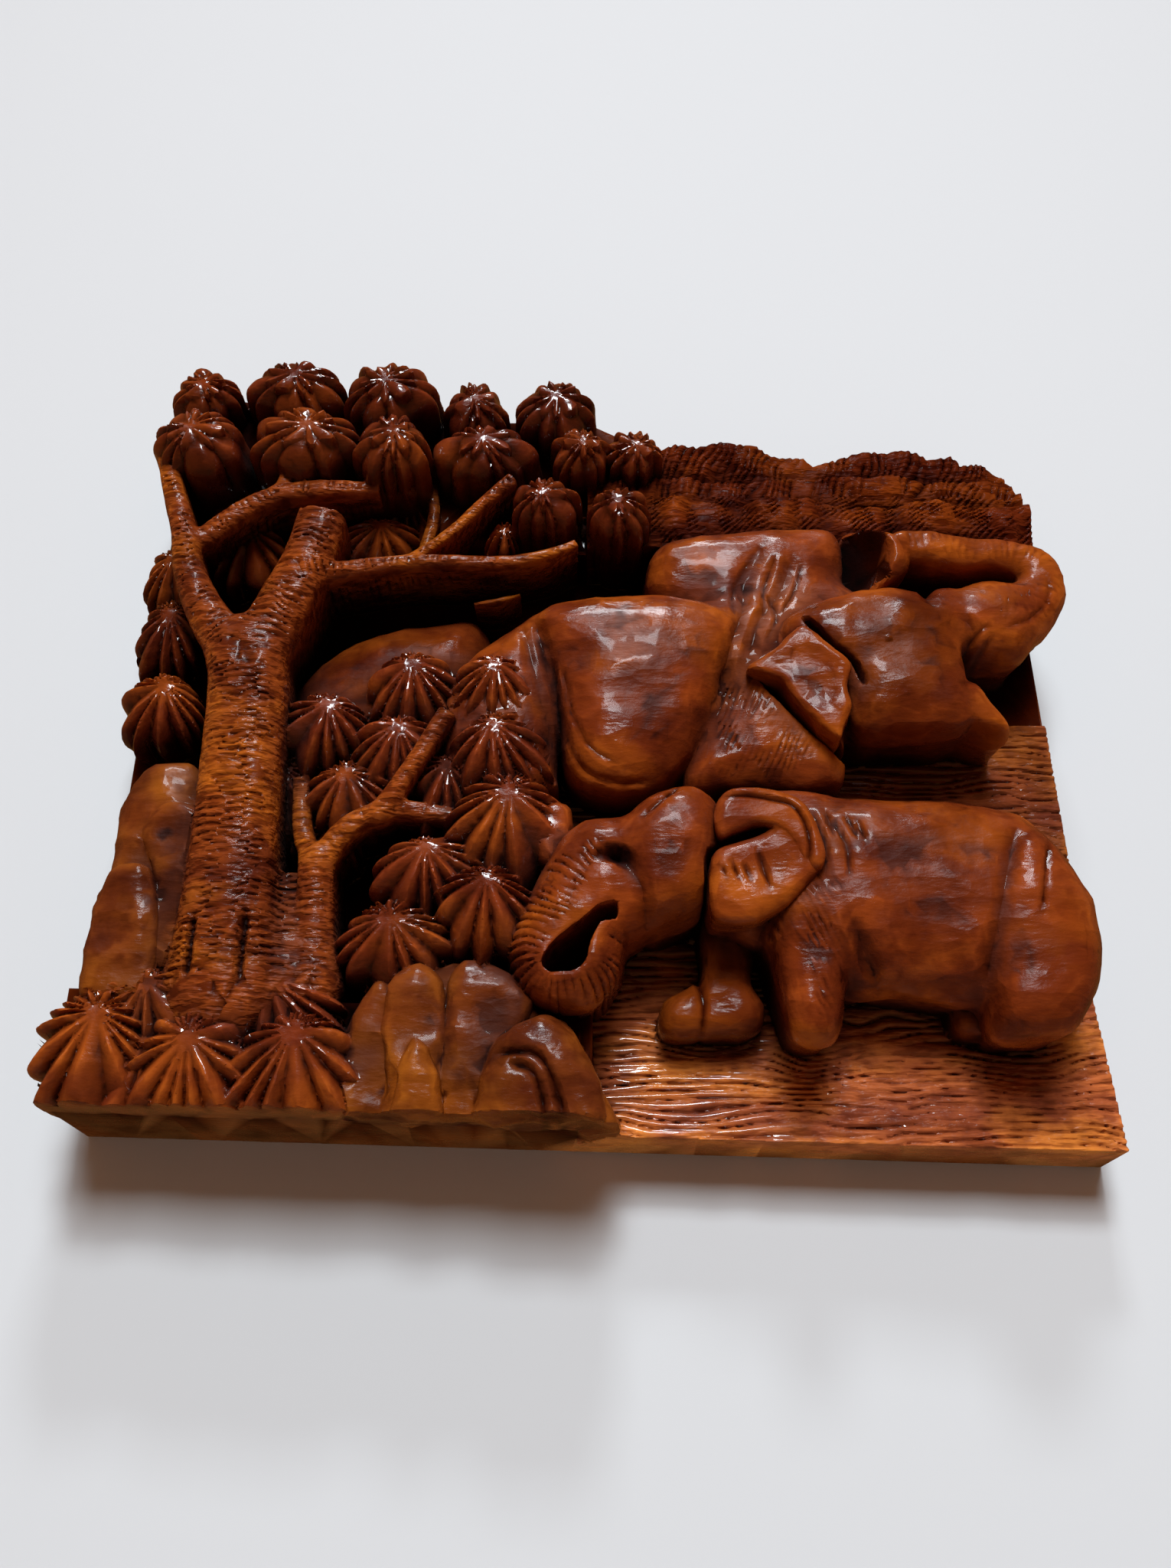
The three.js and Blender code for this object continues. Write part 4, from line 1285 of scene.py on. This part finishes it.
def block_mean(array, factor):
    """A coarser copy of a grid array."""
    shape = [count // factor for count in array.shape]
    cut = array[: shape[0] * factor, : shape[1] * factor, : shape[2] * factor]
    cut = cut.reshape(shape[0], factor, shape[1], factor, shape[2], factor)
    return cut.mean(axis=(1, 3, 5))


def hollow_map(radius):
    """How much wood stands around each place, from 0 in the open to 1 deep inside, on a coarse grid."""
    solid = block_mean((wood < 0).astype(np.float32), COARSE)
    size = max(1, int(round(radius / (STEP * COARSE))))
    for axis in range(3):
        for _ in range(2):
            widths = [(size + 1, size) if a == axis else (0, 0) for a in range(3)]
            total = np.cumsum(np.pad(solid, widths), axis=axis, dtype=np.float64)
            count = solid.shape[axis]
            high = np.take(total, np.arange(2 * size + 1, 2 * size + 1 + count), axis=axis)
            low = np.take(total, np.arange(0, count), axis=axis)
            solid = (high - low) / (2 * size + 1)
    return solid.astype(np.float32)


def wood_around(points, radius):
    solid = hollow_map(radius)
    cell = np.rint((points - np.array(GRID_LOW)) / (STEP * COARSE) - 0.25).astype(int)
    cell = np.clip(cell, 0, np.array(solid.shape) - 1)
    return solid[cell[:, 0], cell[:, 1], cell[:, 2]]


def paint(mesh):
    """Stores each vertex's tone by its form, with painted shade on deep forms and on the board, how far it
    lies in a hollow or on an edge, and its finish.
    """
    count = len(mesh.vertices)
    flat = np.empty(count * 3, np.float32)
    mesh.vertices.foreach_get("co", flat)
    points = flat.reshape(-1, 3) / MM
    points = np.stack([points[:, 0], -points[:, 1], points[:, 2] + BACK_CENTRE_HEIGHT], axis=1)
    normals = np.empty(count * 3, np.float32)
    mesh.vertices.foreach_get("normal", normals)
    normals = normals.reshape(-1, 3) * (1, -1, 1)
    kind = field_at(points - 0.6 * normals, kinds)
    behind = points[:, 1] < BACK_LAYER
    kind[behind] = BACK
    tone = np.ones((count, 4), np.float32)
    for number, colour in TONES.items():
        tone[kind == number, :3] = colour
    # Painted shade on forms that lie deep.
    for number, (darkest, full_rise) in DEPTH_SHADE.items():
        here = kind == number
        up = np.clip((points[here, 1] - FIELD_RISE) / (full_rise - FIELD_RISE), 0, 1) ** 1.6
        tone[here, :3] *= (darkest + (1 - darkest) * up)[:, None]
    attribute = mesh.attributes.new("tone", "FLOAT_COLOR", "POINT")
    attribute.data.foreach_set("color", tone.ravel())
    # Stain pooled in cuts and painted shade, as the forms left it.
    stain_and_shade_level = field_at(points - 0.3 * normals, stains_and_shade) / 255
    on_ground = kind == GROUND
    dull = np.isin(kind, (WOODS, BOARD, BACK))
    on_leaves = np.isin(kind, (CROWN_LEAF, THICKET_LEAF))
    on_plain = np.isin(kind, (SKIN, ROCK))
    masks = {
        "stain_and_shade": stain_and_shade_level * (1 - 0.35 * on_ground) * ~behind,
        "groove": np.where(behind, 0.5, wood_around(points, 1.6)),
        "recess": np.where(behind, 0.4, wood_around(points, 8.0) - 0.1 * on_ground),
        "strokes": np.isin(kind, (BARK, WOODS)) + 0.7 * on_ground + 0.08 * on_plain,
        "facets": on_plain,
        "wet": 0.1 + 0.8 * on_ground + 0.5 * on_leaves - 0.1 * dull,
        "dull": dull,
    }
    for name, values in masks.items():
        attribute = mesh.attributes.new(name, "FLOAT", "POINT")
        attribute.data.foreach_set("value", values.astype(np.float32))


def build_panel():
    board()
    ground()
    woods()
    leaf_balls()
    rocks()
    trees()
    back_elephant()
    front_elephant()
    cut_bottom()
    points, quads = surface()
    quads = main_body(points, quads)
    normals = vertex_normals(points, quads)
    kind = field_at(points, kinds)
    volume = np.einsum("ij,ij->", points[quads[:, 0]], np.cross(points[quads[:, 1]], points[quads[:, 2]]))
    if volume < 0:
        normals = -normals
    points = carve_marks(points, normals, kind)
    panel = make_mesh("carved_relief", points, quads if volume < 0 else quads[:, ::-1])
    reduce_triangles(panel, TRIANGLES)
    keep_in_box(panel.data)
    panel.data.shade_smooth()
    panel.data.set_sharp_from_angle(angle=math.radians(SHARP_ANGLE))
    flatten_back(panel.data)
    paint(panel.data)
    return panel


# Materials.


def mix_colours(tree, blend_type, factor, one, two):
    """A colour mix. factor, one and two are sockets or plain values."""
    mix = tree.nodes.new("ShaderNodeMix")
    mix.data_type = "RGBA"
    mix.blend_type = blend_type
    for socket, value in ((mix.inputs[0], factor), (mix.inputs[6], one), (mix.inputs[7], two)):
        if isinstance(value, bpy.types.NodeSocket):
            tree.links.new(value, socket)
        else:
            socket.default_value = value
    return mix.outputs[2]


def map_value(tree, value, low, high, to_low=0.0, to_high=1.0):
    made = tree.nodes.new("ShaderNodeMapRange")
    tree.links.new(value, made.inputs[0])
    for socket, number in zip(made.inputs[1:5], (low, high, to_low, to_high)):
        socket.default_value = number
    return made.outputs[0]


def attribute(tree, name, output):
    made = tree.nodes.new("ShaderNodeAttribute")
    made.attribute_name = name
    return made.outputs[output]


def texture(tree, kind, scale, stretch, **inputs):
    coordinates = tree.nodes.new("ShaderNodeTexCoord")
    mapping = tree.nodes.new("ShaderNodeMapping")
    mapping.inputs["Scale"].default_value = stretch
    tree.links.new(coordinates.outputs["Object"], mapping.inputs["Vector"])
    made = tree.nodes.new(kind)
    tree.links.new(mapping.outputs["Vector"], made.inputs["Vector"])
    made.inputs["Scale"].default_value = scale
    for name, value in inputs.items():
        made.inputs[name].default_value = value
    return made


def noise_texture(tree, scale, stretch=(1, 1, 1), **inputs):
    return texture(tree, "ShaderNodeTexNoise", scale, stretch, **inputs).outputs["Fac"]


def multiply(tree, one, two):
    made = tree.nodes.new("ShaderNodeMath")
    made.operation = "MULTIPLY"
    for socket, value in zip(made.inputs, (one, two)):
        if isinstance(value, bpy.types.NodeSocket):
            tree.links.new(value, socket)
        else:
            socket.default_value = value
    return made.outputs[0]


def bump(tree, height, distance, strength, below=None):
    """A bump node on a height socket, over an earlier bump's normal."""
    made = tree.nodes.new("ShaderNodeBump")
    made.inputs["Strength"].default_value = strength
    made.inputs["Distance"].default_value = distance
    tree.links.new(height, made.inputs["Height"])
    if below:
        tree.links.new(below, made.inputs["Normal"])
    return made.outputs["Normal"]


def wood_colour(tree, strokes):
    """Red-brown wood under a tinted lacquer, which is paler on worn edges, and darker in grooves, marked cuts
    and recesses, partly as stain and partly as painted shade.
    """
    grain = noise_texture(tree, 60.0, (0.45, 1.5, 1.5), Detail=6.0, Roughness=0.6, Distortion=0.4)
    patches = noise_texture(tree, 30.0, (1.0, 1.0, 1.4), Detail=3.0)
    blots = noise_texture(tree, 46.0, (1.3, 1.0, 0.8), Detail=4.0, Roughness=0.6)
    ramp = tree.nodes.new("ShaderNodeValToRGB")
    for element, position, colour in zip(ramp.color_ramp.elements, (0.3, 0.7), (DARK_GRAIN, LIGHT_GRAIN)):
        element.position = position
        element.color = colour
    tree.links.new(grain, ramp.inputs["Fac"])
    orange = map_value(tree, patches, 0.46, 0.64, 0.0, 0.7)
    colour = mix_colours(tree, "MIX", orange, ramp.outputs["Color"], ORANGE_PATCH)
    blot = map_value(tree, blots, 0.5, 0.66, 0.0, 0.75)
    colour = mix_colours(tree, "MULTIPLY", blot, colour, BLOT)
    colour = mix_colours(tree, "MULTIPLY", 1.0, colour, attribute(tree, "tone", "Color"))
    groove = attribute(tree, "groove", "Fac")
    layers = [
        (multiply(tree, map_value(tree, strokes, 0.5, 0.38), attribute(tree, "strokes", "Fac")), STROKE),
        (map_value(tree, groove, 0.4, 0.24, 0.0, 0.55), WORN_EDGE),
        # Painted shade, partly stain: darker in grooves, in marked places and in recesses.
        (map_value(tree, groove, 0.55, 0.75), GROOVE_STAIN_AND_SHADE),
        (attribute(tree, "stain_and_shade", "Fac"), POOLED_STAIN_AND_SHADE),
        (map_value(tree, attribute(tree, "recess", "Fac"), 0.42, 0.76), RECESS_STAIN_AND_SHADE),
    ]
    for amount, layer in layers:
        colour = mix_colours(tree, "MULTIPLY", amount, colour, layer)
    return colour


def lacquered_wood():
    """Stained wood under clear lacquer, with scooped facets, chopped ridges and fine grain."""
    material = bpy.data.materials.new("lacquered_wood")
    material.use_nodes = True
    tree = material.node_tree
    shader = tree.nodes["Principled BSDF"]
    tree.links.new(attribute(tree, "wet", "Fac"), shader.inputs["Coat Weight"])
    shader.inputs["Coat Roughness"].default_value = 0.07
    strokes = noise_texture(tree, 520.0, (0.26, 0.4, 1.0), Detail=2.0)
    tree.links.new(wood_colour(tree, strokes), shader.inputs["Base Color"])
    facets = texture(tree, "ShaderNodeTexVoronoi", 150.0, (0.5, 1.0, 1.0)).outputs["Distance"]
    scoops = multiply(tree, multiply(tree, facets, facets), attribute(tree, "facets", "Fac"))
    ridges = multiply(tree, map_value(tree, strokes, 0.4, 0.6), attribute(tree, "strokes", "Fac"))
    fine = noise_texture(tree, 700.0, (0.5, 1.0, 1.0), Detail=3.0)
    normal = bump(tree, scoops, 0.0009, 0.7)
    normal = bump(tree, ridges, 0.0007, 0.7, normal)
    normal = bump(tree, fine, 0.0004, 0.5, normal)
    tree.links.new(normal, shader.inputs["Normal"])
    shine = noise_texture(tree, 90.0, Detail=4.0)
    dull = tree.nodes.new("ShaderNodeMath")
    dull.operation = "MAXIMUM"
    tree.links.new(map_value(tree, shine, 0.35, 0.65, 0.16, 0.36), dull.inputs[0])
    tree.links.new(map_value(tree, attribute(tree, "recess", "Fac"), 0.42, 0.62, 0.2, 0.85), dull.inputs[1])
    tree.links.new(dull.outputs[0], shader.inputs["Roughness"])
    shine_level = map_value(tree, attribute(tree, "dull", "Fac"), 0.0, 1.0, SHINE, DULL_SHINE)
    shader.inputs["Specular IOR Level"].default_value = SHINE
    tree.links.new(shine_level, shader.inputs["Specular IOR Level"])
    return material


def plain_material(name, colour, roughness):
    material = bpy.data.materials.new(name)
    material.use_nodes = True
    shader = material.node_tree.nodes["Principled BSDF"]
    shader.inputs["Base Color"].default_value = (*colour, 1)
    shader.inputs["Roughness"].default_value = roughness
    return material


# Stage, light and camera.


def flat_sheet(name, loops, material):
    """A flat sheet with the outline of the first loop and openings along the others."""
    loops = [[Vector(corner) for corner in loop] for loop in loops]
    mesh = bpy.data.meshes.new(name)
    mesh.from_pydata([tuple(corner) for loop in loops for corner in loop], [], tessellate_polygon(loops))
    obj = bpy.data.objects.new(name, mesh)
    bpy.context.collection.objects.link(obj)
    mesh.materials.append(material)
    obj.visible_glossy = False


def stage():
    """A pale wall with an opening behind the panel, through which its back can be seen, and a pale floor."""
    far, low = STAGE_REACH, FLOOR_HEIGHT
    wall = [(-far, WALL_GAP, low), (far, WALL_GAP, low), (far, WALL_GAP, far), (-far, WALL_GAP, far)]
    opening = [(x * MM, WALL_GAP, (z - BACK_CENTRE_HEIGHT) * MM) for x, z in WALL_OPENING]
    flat_sheet("wall", [wall, opening], plain_material("pale_wall", WALL_COLOUR, 0.8))
    floor = [(-far, -far, low), (far, -far, low), (far, far, low), (-far, far, low)]
    flat_sheet("floor", [floor], plain_material("pale_floor", FLOOR_COLOUR, 0.8))


def area_light(name, angle, distance, size, energy, colour, glossy):
    """A light above the front of the panel, at an angle over a place a little below its middle."""
    light = bpy.data.lights.new(name, "AREA")
    light.shape = "RECTANGLE"
    light.size, light.size_y = size
    light.energy = energy
    light.color = colour
    light.spread = math.radians(LIGHT_SPREAD)
    lamp = bpy.data.objects.new(name, light)
    tilt = math.radians(angle)
    lamp.location = (LIGHT_SHIFT, -distance * math.cos(tilt), distance * math.sin(tilt) - LIGHT_DROP)
    lamp.rotation_euler = (math.radians(90) - tilt, 0, 0)
    lamp.visible_glossy = glossy
    bpy.context.collection.objects.link(lamp)


def lights():
    """A soft key above and in front, small high lights for the gloss, one behind, and warm surroundings."""
    for name, values in LIGHTS.items():
        area_light(name, *values)
    world = bpy.data.worlds.new("soft_world")
    world.use_nodes = True
    sky = world.node_tree.nodes["Background"]
    sky.inputs["Color"].default_value = SKY_COLOUR
    sky.inputs["Strength"].default_value = SKY_STRENGTH
    bpy.context.scene.world = world
    bpy.context.scene.view_settings.view_transform = "Standard"


def camera():
    lens = bpy.data.cameras.new("camera")
    lens.lens = LENS
    lens.sensor_width = SENSOR
    eye = bpy.data.objects.new("camera", lens)
    eye.location = (EYE_X * MM, -EYE_RISE * MM, (EYE_Z - BACK_CENTRE_HEIGHT) * MM)
    eye.rotation_euler = (math.radians(CAMERA_TILT), 0, 0)
    bpy.context.collection.objects.link(eye)
    bpy.context.scene.camera = eye


camera()
lights()
stage()
panel = build_panel()
panel.data.materials.append(lacquered_wood())
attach(panel, "root")
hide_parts("carved_panel")
